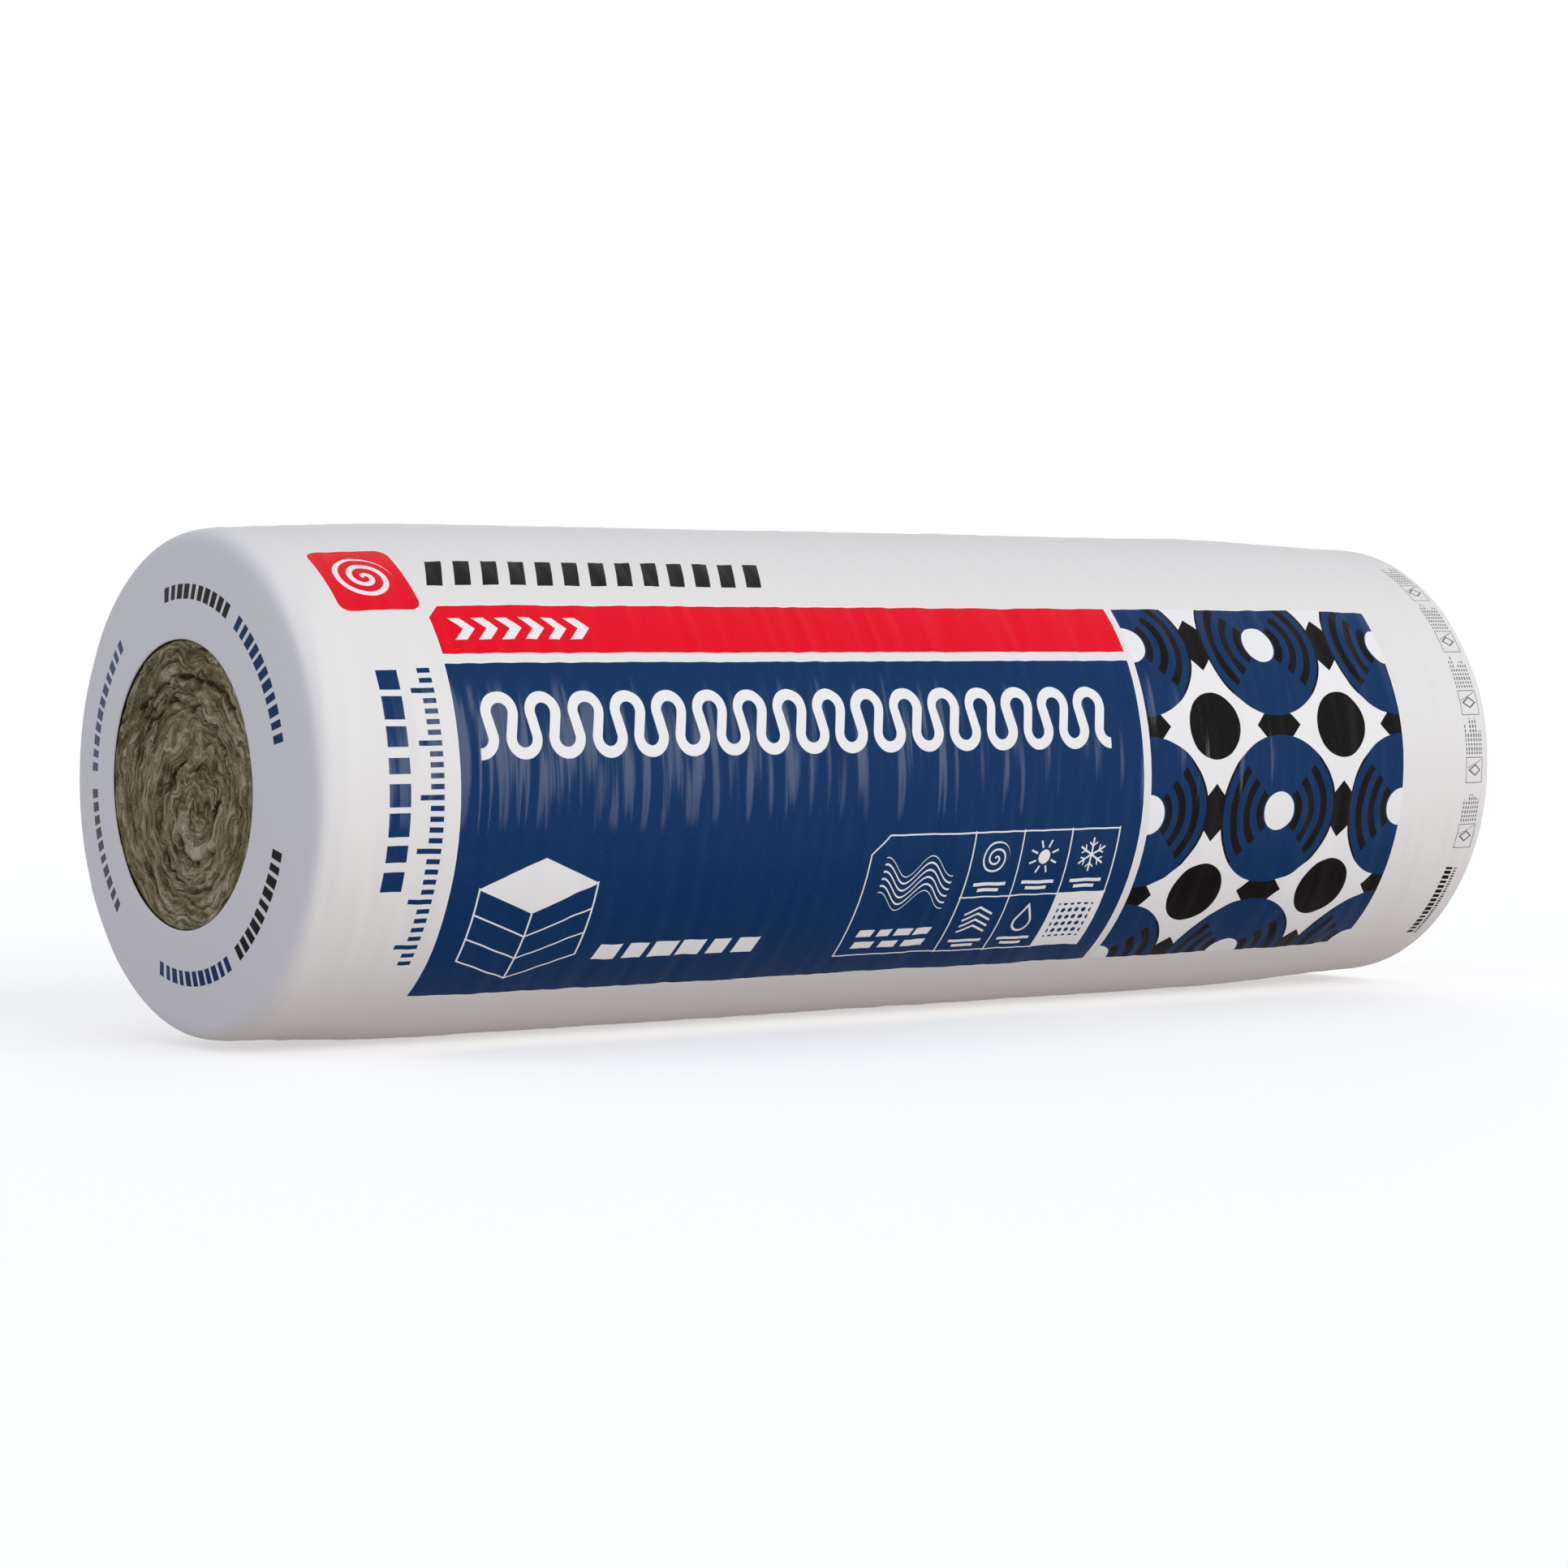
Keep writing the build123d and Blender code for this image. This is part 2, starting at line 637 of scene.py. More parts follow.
@dataclass(frozen=True)
class BluePanel:
    """The large blue panel that faces the front."""

    area: Area = Area(-486.0, 186.0, -184.8, 97.5)
    halo: float = 1.0

    def lay(self, plate: PrintPlate) -> None:
        """Prints the panel with its light edge.

        Args:
            plate: the print so far.
        """
        plate.lay_edged(Ink.BLUE, plate.box(self.area), self.halo)


@dataclass(frozen=True)
class SideScale:
    """A ruler and a column of bars that run up beside the panel, in blue."""

    ruler: Area = Area(-520.0, -500.0, -149.2, 96.5)
    tick_pitch: float = 8.19
    tick_share: float = 0.5
    long_every: int = 5
    short_tick: float = 11.0
    bars: Area = Area(-546.0, -528.0, -82.0, 96.5)
    bar_pitch: float = 22.3
    bar_shares: tuple[float, float] = (0.55, 0.85)

    def lay(self, plate: PrintPlate) -> None:
        """Prints the ruler's ticks and the bars.

        Args:
            plate: the print so far.
        """
        place = plate.up - self.ruler.low
        ticks = stripes(place, self.tick_pitch, self.tick_share * self.tick_pitch)
        long_pitch = self.tick_pitch * self.long_every
        is_long = abs(place.centred(long_pitch)).below(self.tick_pitch / 2)
        width = self.ruler.right - self.ruler.left
        start = self.ruler.right - self.short_tick - is_long * (width - self.short_tick)
        ticks = ticks.at_least(start - plate.along).at_least(plate.box(self.ruler))
        blocks = plate.row(plate.up - self.bars.low, self.bar_pitch, *self.bar_shares)
        plate.lay(Ink.BLUE, ticks.at_most(blocks.at_least(plate.box(self.bars))))


@dataclass(frozen=True)
class SlabStack:
    """A line drawing of three slabs in a stack, seen from a corner, with the top face filled."""

    corner: tuple[float, float] = (-409.0, -166.0)
    right_edge: tuple[float, float] = (54.0, 24.0)
    left_edge: tuple[float, float] = (-52.0, 22.0)
    slab_height: float = 22.0
    slabs: int = 3
    line_width: float = 1.5

    def lay(self, plate: PrintPlate) -> None:
        """Prints the two sides as lines and the top as a white face.

        Args:
            plate: the print so far.
        """
        across, up = plate.along - self.corner[0], plate.up - self.corner[1]
        height = self.slab_height * self.slabs
        right, left = (self._side(across, up, edge, height) for edge in (self.right_edge, self.left_edge))
        plate.lay(Ink.WHITE, right.at_most(left))
        plate.lay(Ink.WHITE, self._top(across, up - height))

    def _side(self, across: Signal, up: Signal, edge: tuple[float, float], height: float) -> Signal:
        """Draws the lines of one side: its outline and the joints between the slabs.

        Args:
            across: millimetres along the roll from the stack's lowest corner.
            up: millimetres up round the roll from that corner.
            edge: how far the side's foot runs across and up.
            height: how high the whole stack is.

        Returns:
            The signed distance to the lines.
        """
        share = across / edge[0]
        rise = up - share * edge[1]
        width = abs(edge[0])
        face = ((abs(share - 0.5) - 0.5) * width).at_least(abs(rise - height / 2) - height / 2)
        joints = stripes(rise + self.slab_height / 2, self.slab_height, self.line_width)
        return stroke(face, self.line_width).at_most(joints.at_least(face))

    def _top(self, across: Signal, up: Signal) -> Signal:
        """Draws the top face, which is a parallelogram on the two edges.

        Args:
            across: millimetres along the roll from the face's nearest corner.
            up: millimetres up round the roll from that corner.

        Returns:
            The signed distance to the face.
        """
        (a, b), (c, d) = self.right_edge, self.left_edge
        spread = a * d - b * c
        to_right = (across * d - up * c) / spread
        to_left = (up * a - across * b) / spread
        wide, deep = spread / math.hypot(c, d), spread / math.hypot(a, b)
        return ((abs(to_right - 0.5) - 0.5) * wide).at_least((abs(to_left - 0.5) - 0.5) * deep)


@dataclass(frozen=True)
class BarCaption:
    """A line of white bars that lean like slanted words."""

    area: Area
    pitch: float = 26.5
    slant: float = 0.22
    shares: tuple[float, float] = (0.62, 0.88)

    def lay(self, plate: PrintPlate) -> None:
        """Prints the bars.

        Args:
            plate: the print so far.
        """
        leaning = plate.along - (plate.up - self.area.middle()[1]) * self.slant
        bars = plate.row(leaning - self.area.left, self.pitch, *self.shares)
        plate.lay(Ink.WHITE, bars.at_least(plate.box_round(leaning, plate.up, self.area)))


@dataclass(frozen=True)
class CellSigns:
    """The plain signs of the small cells, each drawn round a middle of its own."""

    line: float = 1.7
    reach: float = 15.0
    spiral_pitch: float = 6.4
    rays: int = 8
    ray_middle: float = 12.0
    ray_half: float = 3.4
    sun_radius: float = 6.3
    arms: int = 6
    barb_slope: float = 0.8
    barb_place: float = 7.6
    barb_half: float = 0.8
    barb_reach: float = 4.2
    layer_slope: float = 0.45
    layer_drop: float = 3.0
    layer_pitch: float = 6.2
    layer_line: float = 2.2
    layers_half: tuple[float, float] = (14.5, 12.4)
    drop_lean: float = math.radians(28.0)
    drop_radius: float = 8.6
    drop_fall: float = 5.5
    drop_line: float = 2.0

    def spiral(self, out: Signal, angle: Signal) -> Signal:
        """The distance to a spiral, the end of a rolled mat."""
        arm = stripes(out + angle * (self.spiral_pitch / math.tau), self.spiral_pitch, self.line)
        return arm.at_least(out - self.reach)

    def sun(self, out: Signal, angle: Signal) -> Signal:
        """Draws a disc with rays.

        Args:
            out: millimetres from the sign's middle.
            angle: the angle round it in radians.

        Returns:
            The signed distance to the sign.
        """
        ray = angle.centred(math.tau / self.rays)
        rays = abs(out * ray) - self.line / 2
        rays = rays.at_least(abs(out - self.ray_middle) - self.ray_half)
        return rays.at_most(out - self.sun_radius)

    def crystal(self, out: Signal, angle: Signal) -> Signal:
        """Draws a snow crystal of arms with a barb on each.

        Args:
            out: millimetres from the sign's middle.
            angle: the angle round it in radians.

        Returns:
            The signed distance to the sign.
        """
        arm = angle.centred(math.tau / self.arms)
        aside, ahead = abs(out * arm), out * arm.cosine()
        stem = aside - self.line / 2
        barb = abs(ahead - aside * self.barb_slope - self.barb_place) - self.barb_half
        barb = barb.at_least(aside - self.barb_reach)
        return stem.at_most(barb).at_least(out - self.reach)

    def layers(self, across: Signal, up: Signal) -> Signal:
        """Draws bent lines, one over the other.

        Args:
            across: millimetres to the right of the sign's middle.
            up: millimetres up from it.

        Returns:
            The signed distance to the lines.
        """
        half_width, half_height = self.layers_half
        bend = up + abs(across) * self.layer_slope - self.layer_drop
        lines = stripes(bend, self.layer_pitch, self.layer_line)
        return lines.at_least(abs(across) - half_width).at_least(abs(bend) - half_height)

    def drop(self, across: Signal, up: Signal) -> Signal:
        """Draws the outline of a drop, a circle under a pointed top.

        Args:
            across: millimetres to the right of the sign's middle.
            up: millimetres up from it.

        Returns:
            The signed distance to the outline.
        """
        sine, cosine = math.sin(self.drop_lean), math.cos(self.drop_lean)
        rise = up + self.drop_fall
        beside = abs(across) * cosine + rise * sine
        below = (abs(across) * -sine + rise * cosine).at_most(0.0)
        return stroke(up.bench.length(beside, below) - self.drop_radius, self.drop_line)


@dataclass(frozen=True)
class IconFrame:
    """A framed sheet of plain signs: waves, a roll, a sun, a snow crystal, layers and a drop."""

    area: Area = Area(-95.0, 164.0, -161.9, -45.9)
    corner_cut: float = 16.0
    line_width: float = 1.3
    first_cell: float = 9.0
    cell_width: float = 51.7
    cell_height: float = 58.0
    sign_lift: float = 6.0
    signs: CellSigns = CellSigns()
    word_lines: tuple[tuple[float, float], ...] = ((17.0, 17.0), (22.5, 11.0))
    word_half: float = 1.5
    waves_middle: tuple[float, float] = (-43.0, -89.0)
    waves_half: tuple[float, float] = (36.0, 16.0)
    wave_length: float = 46.0
    wave_height: float = 9.0
    wave_pitch: float = 6.4
    dots_half: float = 18.5
    dot_pitch: float = 7.4
    dot_radius: float = 2.3
    captions: tuple[BarCaption, ...] = (
        BarCaption(Area(-84.0, -6.0, -141.0, -133.5), pitch=19.5),
        BarCaption(Area(-84.0, -6.0, -154.0, -146.5), pitch=26.0),
    )

    def lay(self, plate: PrintPlate) -> None:
        """Prints the frame, its dividing lines and the signs in its cells.

        Args:
            plate: the print so far.
        """
        plate.lay(Ink.WHITE, self._frame(plate))
        plate.lay(Ink.WHITE, self._waves(plate))
        self._small_cells(plate)
        for caption in self.captions:
            caption.lay(plate)

    def _frame(self, plate: PrintPlate) -> Signal:
        """Draws the frame and the lines between its cells.

        Args:
            plate: the print so far.

        Returns:
            The signed distance to the lines.
        """
        corner = (self.area.left, self.area.high)
        outline = plate.box(self.area).at_least(plate.cut_corner(corner, self.corner_cut, (-1, 1)))
        inside_cells = (self.first_cell - plate.along).at_least(outline)
        upright = plate.along - self.first_cell + self.cell_width / 2
        uprights = stripes(upright, self.cell_width, self.line_width)
        level = abs(plate.up - (self.area.low + self.cell_height)) - self.line_width / 2
        divides = uprights.at_most(level).at_least(inside_cells - self.line_width)
        return stroke(outline, self.line_width).at_most(divides)

    def _waves(self, plate: PrintPlate) -> Signal:
        """Draws the bundle of wavy lines in the large cell.

        Args:
            plate: the print so far.

        Returns:
            The signed distance to the lines.
        """
        half_width, half_height = self.waves_half
        across, up = plate.along - self.waves_middle[0], plate.up - self.waves_middle[1]
        wave = up - (across * (math.tau / self.wave_length)).sine() * self.wave_height
        lines = stripes(wave, self.wave_pitch, self.signs.line)
        return lines.at_least(abs(across) - half_width).at_least(abs(wave) - half_height)

    def _small_cells(self, plate: PrintPlate) -> None:
        """Prints the six small cells, which share one set of folded coordinates.

        Args:
            plate: the print so far.
        """
        bench = plate.bench
        shelf = self.area.low + self.cell_height
        second, third, end = (self.first_cell + cells * self.cell_width for cells in (1, 2, 3))
        across = (plate.along - self.first_cell).centred(self.cell_width)
        level = (plate.up - self.area.low).centred(self.cell_height)
        up = level - self.sign_lift
        out, angle = bench.length(across, up), up.direction(across)
        below_shelf = shelf - plate.up
        before_second, before_third = second - plate.along, third - plate.along

        roll = self.signs.spiral(out, angle).at_least(-before_second)
        sun = self.signs.sun(out, angle).at_least(before_second).at_least(-before_third)
        crystal = self.signs.crystal(out, angle).at_least(before_third)
        top_row = roll.at_most(sun).at_most(crystal).at_least(below_shelf)
        layers = self.signs.layers(across, up).at_least(-before_second)
        drop = self.signs.drop(across, up).at_least(before_second).at_least(-before_third)
        low_row = layers.at_most(drop).at_least(-below_shelf)
        upper_words, lower_words = (
            (abs(level + fall) - self.word_half).at_least(abs(across) - half)
            for fall, half in self.word_lines
        )
        signs = top_row.at_most(low_row).at_most(upper_words.at_most(lower_words))
        cells = Area(self.first_cell, end, self.area.low, self.area.high)
        plate.lay(Ink.WHITE, signs.at_least(plate.box(cells)))

        pale = plate.box(Area(third, self.area.right, self.area.low, shelf))
        plate.lay(Ink.WHITE, pale)
        patch = (abs(across) - self.dots_half).at_least(abs(level) - self.dots_half).at_least(pale)
        dots = bench.length(across.centred(self.dot_pitch), level.centred(self.dot_pitch)) - self.dot_radius
        plate.lay(Ink.BLUE, dots.at_least(patch))


@dataclass(frozen=True)
class TileBlock:
    """A block of large mirrored tiles with discs, rings and diamonds, in blue, black and white."""

    area: Area = Area(194.0, 492.0, -184.8, 150.6)
    corner_cut: float = 16.0
    halo: float = 1.0
    tile: float = 74.5
    disc: float = 66.0
    ring_pitch: float = 15.0
    ring_share: float = 0.5
    core: float = 17.0
    dot: float = 29.0
    diamond: float = 0.34

    def lay(self, plate: PrintPlate) -> None:
        """Prints the tiles inside the block's outline.

        The place in a tile is mirrored in every second tile both ways, so quarter discs
        meet as whole ones.

        Args:
            plate: the print so far.
        """
        bench = plate.bench
        corner = (self.area.right, self.area.low)
        block = plate.box(self.area).at_least(plate.cut_corner(corner, self.corner_cut, (1, -1)))
        across = bench.math("PINGPONG", plate.along - self.area.left, self.tile)
        up = bench.math("PINGPONG", plate.up - self.area.low, self.tile)
        out = bench.length(across, up)
        far = bench.length(self.tile - across, self.tile - up)
        disc = out - self.disc
        rings = stripes(out, self.ring_pitch, self.ring_share * self.ring_pitch)
        half = up - across
        diamond = (abs(across) + abs(up - self.tile)).at_most(abs(across - self.tile) + abs(up))
        plate.lay(Ink.WHITE, block - self.halo)
        plate.lay(Ink.BLACK, (diamond - self.diamond * self.tile).at_least(block))
        plate.lay(Ink.BLUE, disc.at_least(block))
        plate.lay(Ink.BLACK, rings.at_least(disc).at_least(half).at_least(block))
        plate.lay(Ink.WHITE, (out - self.core).at_least(block))
        plate.lay(Ink.BLACK, (far - self.dot).at_least(block))


@dataclass(frozen=True)
class RingMarks:
    """Three pairs of dashed arcs on each end ring, one of each pair black and one blue."""

    inner: float = 142.0
    outer: float = 153.6
    group: float = 120.0
    first_end: float = 103.0
    black_arc: float = 41.0
    gap: float = 4.1
    blue_arc: float = 45.1
    dash: float = 4.1
    dash_least: float = 0.27
    dash_spread: float = 0.13
    end_zone: float = 606.0

    def lay(self, plate: PrintPlate) -> None:
        """Prints the arcs.

        Args:
            plate: the print so far.
        """
        bench = plate.bench
        middle = (self.inner + self.outer) / 2
        place = (self.first_end - plate.turn) % self.group
        ring = abs(plate.out - middle) - (self.outer - self.inner) / 2
        ring = ring.at_least(self.end_zone - abs(plate.along))
        to_mm = math.radians(middle)
        luck = bench.chance((place / self.dash).whole())
        half_dash = bench.scaled(luck, self.dash_spread * self.dash, self.dash_least * self.dash)
        ring = ring.at_least((abs(place.centred(self.dash)) - half_dash) * to_mm)
        blue_start = self.black_arc + self.gap
        plate.lay(Ink.BLACK, ring.at_least((place - self.black_arc) * to_mm))
        blue = abs(place - blue_start - self.blue_arc / 2) - self.blue_arc / 2
        plate.lay(Ink.BLUE, ring.at_least(blue * to_mm))


@dataclass(frozen=True)
class ShoulderNotes:
    """Small outlined boxes with fine lines between them, round the far shoulder."""

    area: Area = Area(573.8, 595.3, -80.5, 229.0)
    pitch: float = 63.0
    first_box: float = -4.8
    box_up: float = 11.6
    box_across: float = 10.2
    line: float = 0.75
    gem_slope: float = 1.4
    gem_inner: float = 5.6
    gem_outer: float = 8.0
    shine_slope: float = 0.45
    shine_up: float = 6.0
    shine_inset: float = 1.5
    row_pitch: float = 3.05
    row_width: float = 1.5
    row_foot: float = 17.0
    row_top: tuple[float, float] = (2.0, 17.0)
    rows_apart: float = 7.0
    word: float = 4.2
    word_shares: tuple[float, float] = (0.5, 0.8)
    bars: Area = Area(574.4, 582.0, -184.0, -100.0)
    bar_pitch: float = 5.4
    bar_shares: tuple[float, float] = (0.5, 0.8)
    ticks: Area = Area(583.9, 587.5, -184.0, -100.0)
    tick_pitch: float = 2.9
    tick_shares: tuple[float, float] = (0.35, 0.7)

    def lay(self, plate: PrintPlate) -> None:
        """Prints the boxes and lines in grey, and a column of black bars and ticks under them.

        Args:
            plate: the print so far.
        """
        aside = plate.along - self.area.middle()[0]
        across = abs(aside)
        box_place = (plate.up - self.first_box + self.pitch / 2).centred(self.pitch)
        frame = (abs(box_place) - self.box_up).at_least(across - self.box_across)
        tilted = abs(box_place) * self.gem_slope + across
        gem = (tilted - self.gem_outer).at_least(-(tilted - self.gem_inner))
        shine = abs(box_place - aside * self.shine_slope - self.shine_up) - self.line / 2
        drawn = gem.at_most(shine.at_least(frame + self.shine_inset))
        notes = stroke(frame, self.line).at_most(self._rows(plate, across)).at_most(drawn)
        plate.lay(Ink.GREY, notes.at_least(plate.box(self.area)))
        blocks = plate.row(plate.up - self.bars.low, self.bar_pitch, *self.bar_shares)
        ticks = plate.row(plate.up - self.ticks.low, self.tick_pitch, *self.tick_shares)
        column = blocks.at_least(plate.box(self.bars))
        plate.lay(Ink.BLACK, column.at_most(ticks.at_least(plate.box(self.ticks))))

    def _rows(self, plate: PrintPlate, across: Signal) -> Signal:
        """Draws the fine broken lines between the boxes, each of a random length.

        Args:
            plate: the print so far.
            across: millimetres along the roll from the middle of the notes.

        Returns:
            The signed distance to the lines.
        """
        bench = plate.bench
        place = (plate.up - self.first_box).centred(self.pitch)
        group = (plate.up / self.pitch).whole()
        number = (plate.along / self.row_pitch).whole() + group * self.rows_apart
        shortest, longest = self.row_top
        top = bench.scaled(bench.chance(number), longest - shortest, shortest)
        rows = stripes(plate.along, self.row_pitch, self.row_width)
        rows = rows.at_least(place - top).at_least(-self.row_foot - place)
        words = plate.row(plate.up, self.word, *self.word_shares)
        return rows.at_least(words).at_least(across - self.box_across)


PRINT: tuple[Motif, ...] = (
    RedBand(),
    BluePanel(),
    TileBlock(),
    RollPatch(),
    HatchedBar(),
    SideScale(),
    LoopHatch(),
    SlabStack(),
    BarCaption(Area(-338.0, -179.0, -149.5, -133.8)),
    IconFrame(),
    ShoulderNotes(),
    RingMarks(),
)


@dataclass(frozen=True)
class FilmFinish:
    """Matt white film with its glossier print, fine creases and a slight grain.

    Sizes along and round the roll are in millimetres, and the creases' height is in metres.
    """

    matt: float = 0.62
    gloss: float = 0.15
    pale_from: float = 0.6
    gloss_spread: float = 0.10
    specular: float = 0.08
    crease_length: float = 70.0
    crease_width: float = 3.6
    crease_height: float = 0.00016
    crease_roughness: float = 0.45
    grain_size: tuple[float, float] = (1.1, 1.6)
    grain_share: float = 0.03
    speck_size: float = 1.4
    speck_roughness: float = 0.6
    speck_colour: Colour = paint(0.55, 0.55, 0.57)
    speckle: float = 0.045
    speck_level: float = 0.42

    def material(self, size: RollSize) -> bpy.types.Material:
        """Builds the film's material.

        Args:
            size: the roll's sizes, which place the print.

        Returns:
            The finished material.
        """
        material, bench = new_material("printed_film")
        x, y, z = place = bench.object_place()
        height = z - size.radius
        angle = height.direction(-y)
        up, out = angle * (size.radius / MM), bench.length(y, height) * (1 / MM)
        plate = PrintPlate(bench, x * (1 / MM), up, out, angle * math.degrees(1))
        for motif in PRINT:
            motif.lay(plate)
        scales = self._scales(self.speck_size, self.speck_size)
        specks = bench.grain(place, scales, roughness=self.speck_roughness)
        fleck = bench.scaled(specks, self.speckle, -self.speck_level * self.speckle, clamp=True)
        colour = bench.blend(fleck, plate.colour, self.speck_colour)
        roughness = self._roughness(bench, plate.colour, specks)
        bench.skin(colour, roughness, self.specular, self._creases(bench, place), self.crease_height)
        return material

    def _roughness(self, bench: NodeBench, colour: Any, specks: Signal) -> Signal:
        """Makes the film matt where it is white, and glossier where a strong colour is printed.

        Args:
            bench: the nodes of the film's material.
            colour: the printed colour, as a link.
            specks: the film's fine grain, from 0 to 1.

        Returns:
            How rough the film is.
        """
        brightness = bench.signal(bench.node("ShaderNodeRGBToBW", None, {0: colour}))
        rise = (self.matt - self.gloss) / self.pale_from
        plain = bench.scaled(brightness.at_most(self.pale_from), rise, self.gloss)
        return plain + (specks - 0.5) * self.gloss_spread

    @staticmethod
    def _scales(along: float, around: float) -> Point:
        """Grains to a metre each way, from their size in millimetres along and round the roll."""
        return (1 / MM / along, 1 / MM / around, 1 / MM / around)

    def _creases(self, bench: NodeBench, place: tuple[Signal, ...]) -> Signal:
        """Makes fine creases that run round the roll, and a weak grain all over.

        Args:
            bench: the nodes of the film's material.
            place: X, Y and Z in metres.

        Returns:
            Their height, as a share of the finish's crease height.
        """
        scales = self._scales(self.crease_width, self.crease_length)
        lines = bench.grain(place, scales, roughness=self.crease_roughness)
        return lines + bench.grain(place, self._scales(*self.grain_size), detail=1.0) * self.grain_share


def held(value: float) -> float:
    """A number, held between 0 and 1."""
    return min(max(value, 0.0), 1.0)


def evenly_spaced(line: list[tuple[float, float]], gap: float) -> list[tuple[float, float]]:
    """Points spread evenly along a line of points.

    Args:
        line: the line's own points.
        gap: about how far apart the new points are.

    Returns:
        The new points, with the line's first and last point kept.
    """
    lengths = [math.dist(a, b) for a, b in zip(line, line[1:])]
    total = sum(lengths)
    count = max(round(total / gap), 1)
    spread, index, passed = [line[0]], 0, 0.0
    for step in range(1, count):
        goal = total * step / count
        while passed + lengths[index] < goal:
            passed += lengths[index]
            index += 1
        share = (goal - passed) / lengths[index]
        (ax, ay), (bx, by) = line[index], line[index + 1]
        spread.append((ax + (bx - ax) * share, ay + (by - ay) * share))
    return spread + [line[-1]]


def ring_faces(rings: int, segments: int) -> list[tuple[int, ...]]:
    """The four-sided faces between rings of points, each ring closed on itself.

    Args:
        rings: how many rings there are.
        segments: how many points each ring has.

    Returns:
        Each face's point numbers, ring after ring.
    """
    faces = []
    for low in range(0, (rings - 1) * segments, segments):
        for segment in range(segments):
            follow = (segment + 1) % segments
            high = low + segments
            faces.append((low + segment, low + follow, high + follow, high + segment))
    return faces


@dataclass(frozen=True)
class EndShape:
    """How the film narrows and turns in over one end of the roll.

    The end ring falls back a little from the opening outwards, like a very flat cone, and
    meets the side in a rounded shoulder.
    """

    STEPS: ClassVar[int] = 160

    side: int
    swell_length: float
    swell_drop: float
    shoulder_depth: float
    shoulder_drop: float
    face_roundness: float
    side_roundness: float
    cone_fall: float
    cone_power: float

    def side_radius(self, radius: float, depth: float) -> float:
        """The roll's radius so far from this end, before the shoulder takes any off."""
        share = min(depth / self.swell_length, 1.0)
        return radius - self.swell_drop * (1 + math.cos(math.pi * share)) / 2

    def cone(self, size: RollSize, out: float) -> float:
        """Works out how far the end ring has fallen back.

        Args:
            size: the roll's sizes.
            out: how far out from the axis.

        Returns:
            The distance from the end's plane, in metres.
        """
        edge = size.radius - self.swell_drop
        share = (out - size.opening_radius) / (edge - size.opening_radius)
        return self.cone_fall * held(share) ** self.cone_power

    def profile(self, size: RollSize, gap: float) -> list[tuple[float, float]]:
        """The film's outline over this end, from the opening's rim to the foot of the shoulder.

        Args:
            size: the roll's sizes.
            gap: about how far apart the points are.

        Returns:
            For each point, its distance from the end and from the axis.
        """
        shoulder = evenly_spaced(list(self._shoulder(size)), gap)
        face_edge, rim = shoulder[0][1], size.opening_radius
        steps = math.ceil((face_edge - rim) / gap)
        radii = [rim + (face_edge - rim) * step / steps for step in range(steps)]
        return [(self.cone(size, out), out) for out in radii] + shoulder

    def _shoulder(self, size: RollSize) -> Iterator[tuple[float, float]]:
        """Follows the shoulder in fine steps, from the end ring outwards.

        Args:
            size: the roll's sizes.

        Returns:
            For each point, its distance from the end and from the axis.
        """
        for step in range(self.STEPS + 1):
            turn = math.pi / 2 * step / self.STEPS
            sunk = self.shoulder_drop * (1 - math.sin(turn) ** (2 / self.side_roundness))
            depth = self.shoulder_depth * (1 - math.cos(turn) ** (2 / self.face_roundness))
            depth += self.cone(size, self.side_radius(size.radius, depth) - sunk)
            yield depth, self.side_radius(size.radius, depth) - sunk


NEAR_END = EndShape(
    side=-1,
    swell_length=0.205,
    swell_drop=0.0057,
    shoulder_depth=0.0322,
    shoulder_drop=0.0200,
    face_roundness=3.64,
    side_roundness=4.29,
    cone_fall=0.0114,
    cone_power=1.31,
)
FAR_END = EndShape(
    side=1,
    swell_length=0.235,
    swell_drop=0.0070,
    shoulder_depth=0.0130,
    shoulder_drop=0.0271,
    face_roundness=2.0,
    side_roundness=2.0,
    cone_fall=0.0,
    cone_power=1.0,
)


@dataclass(frozen=True)
class Waves:
    """Smooth waves on the roll: how high they stand, and their size along and round it."""

    height: float
    along: float
    around: float

    def height_at(self, x: float, y: float, z: float) -> float:
        """How far the waves stand out at a place."""
        return self.height * noise.noise(Vector((x / self.along, y / self.around, z / self.around)))


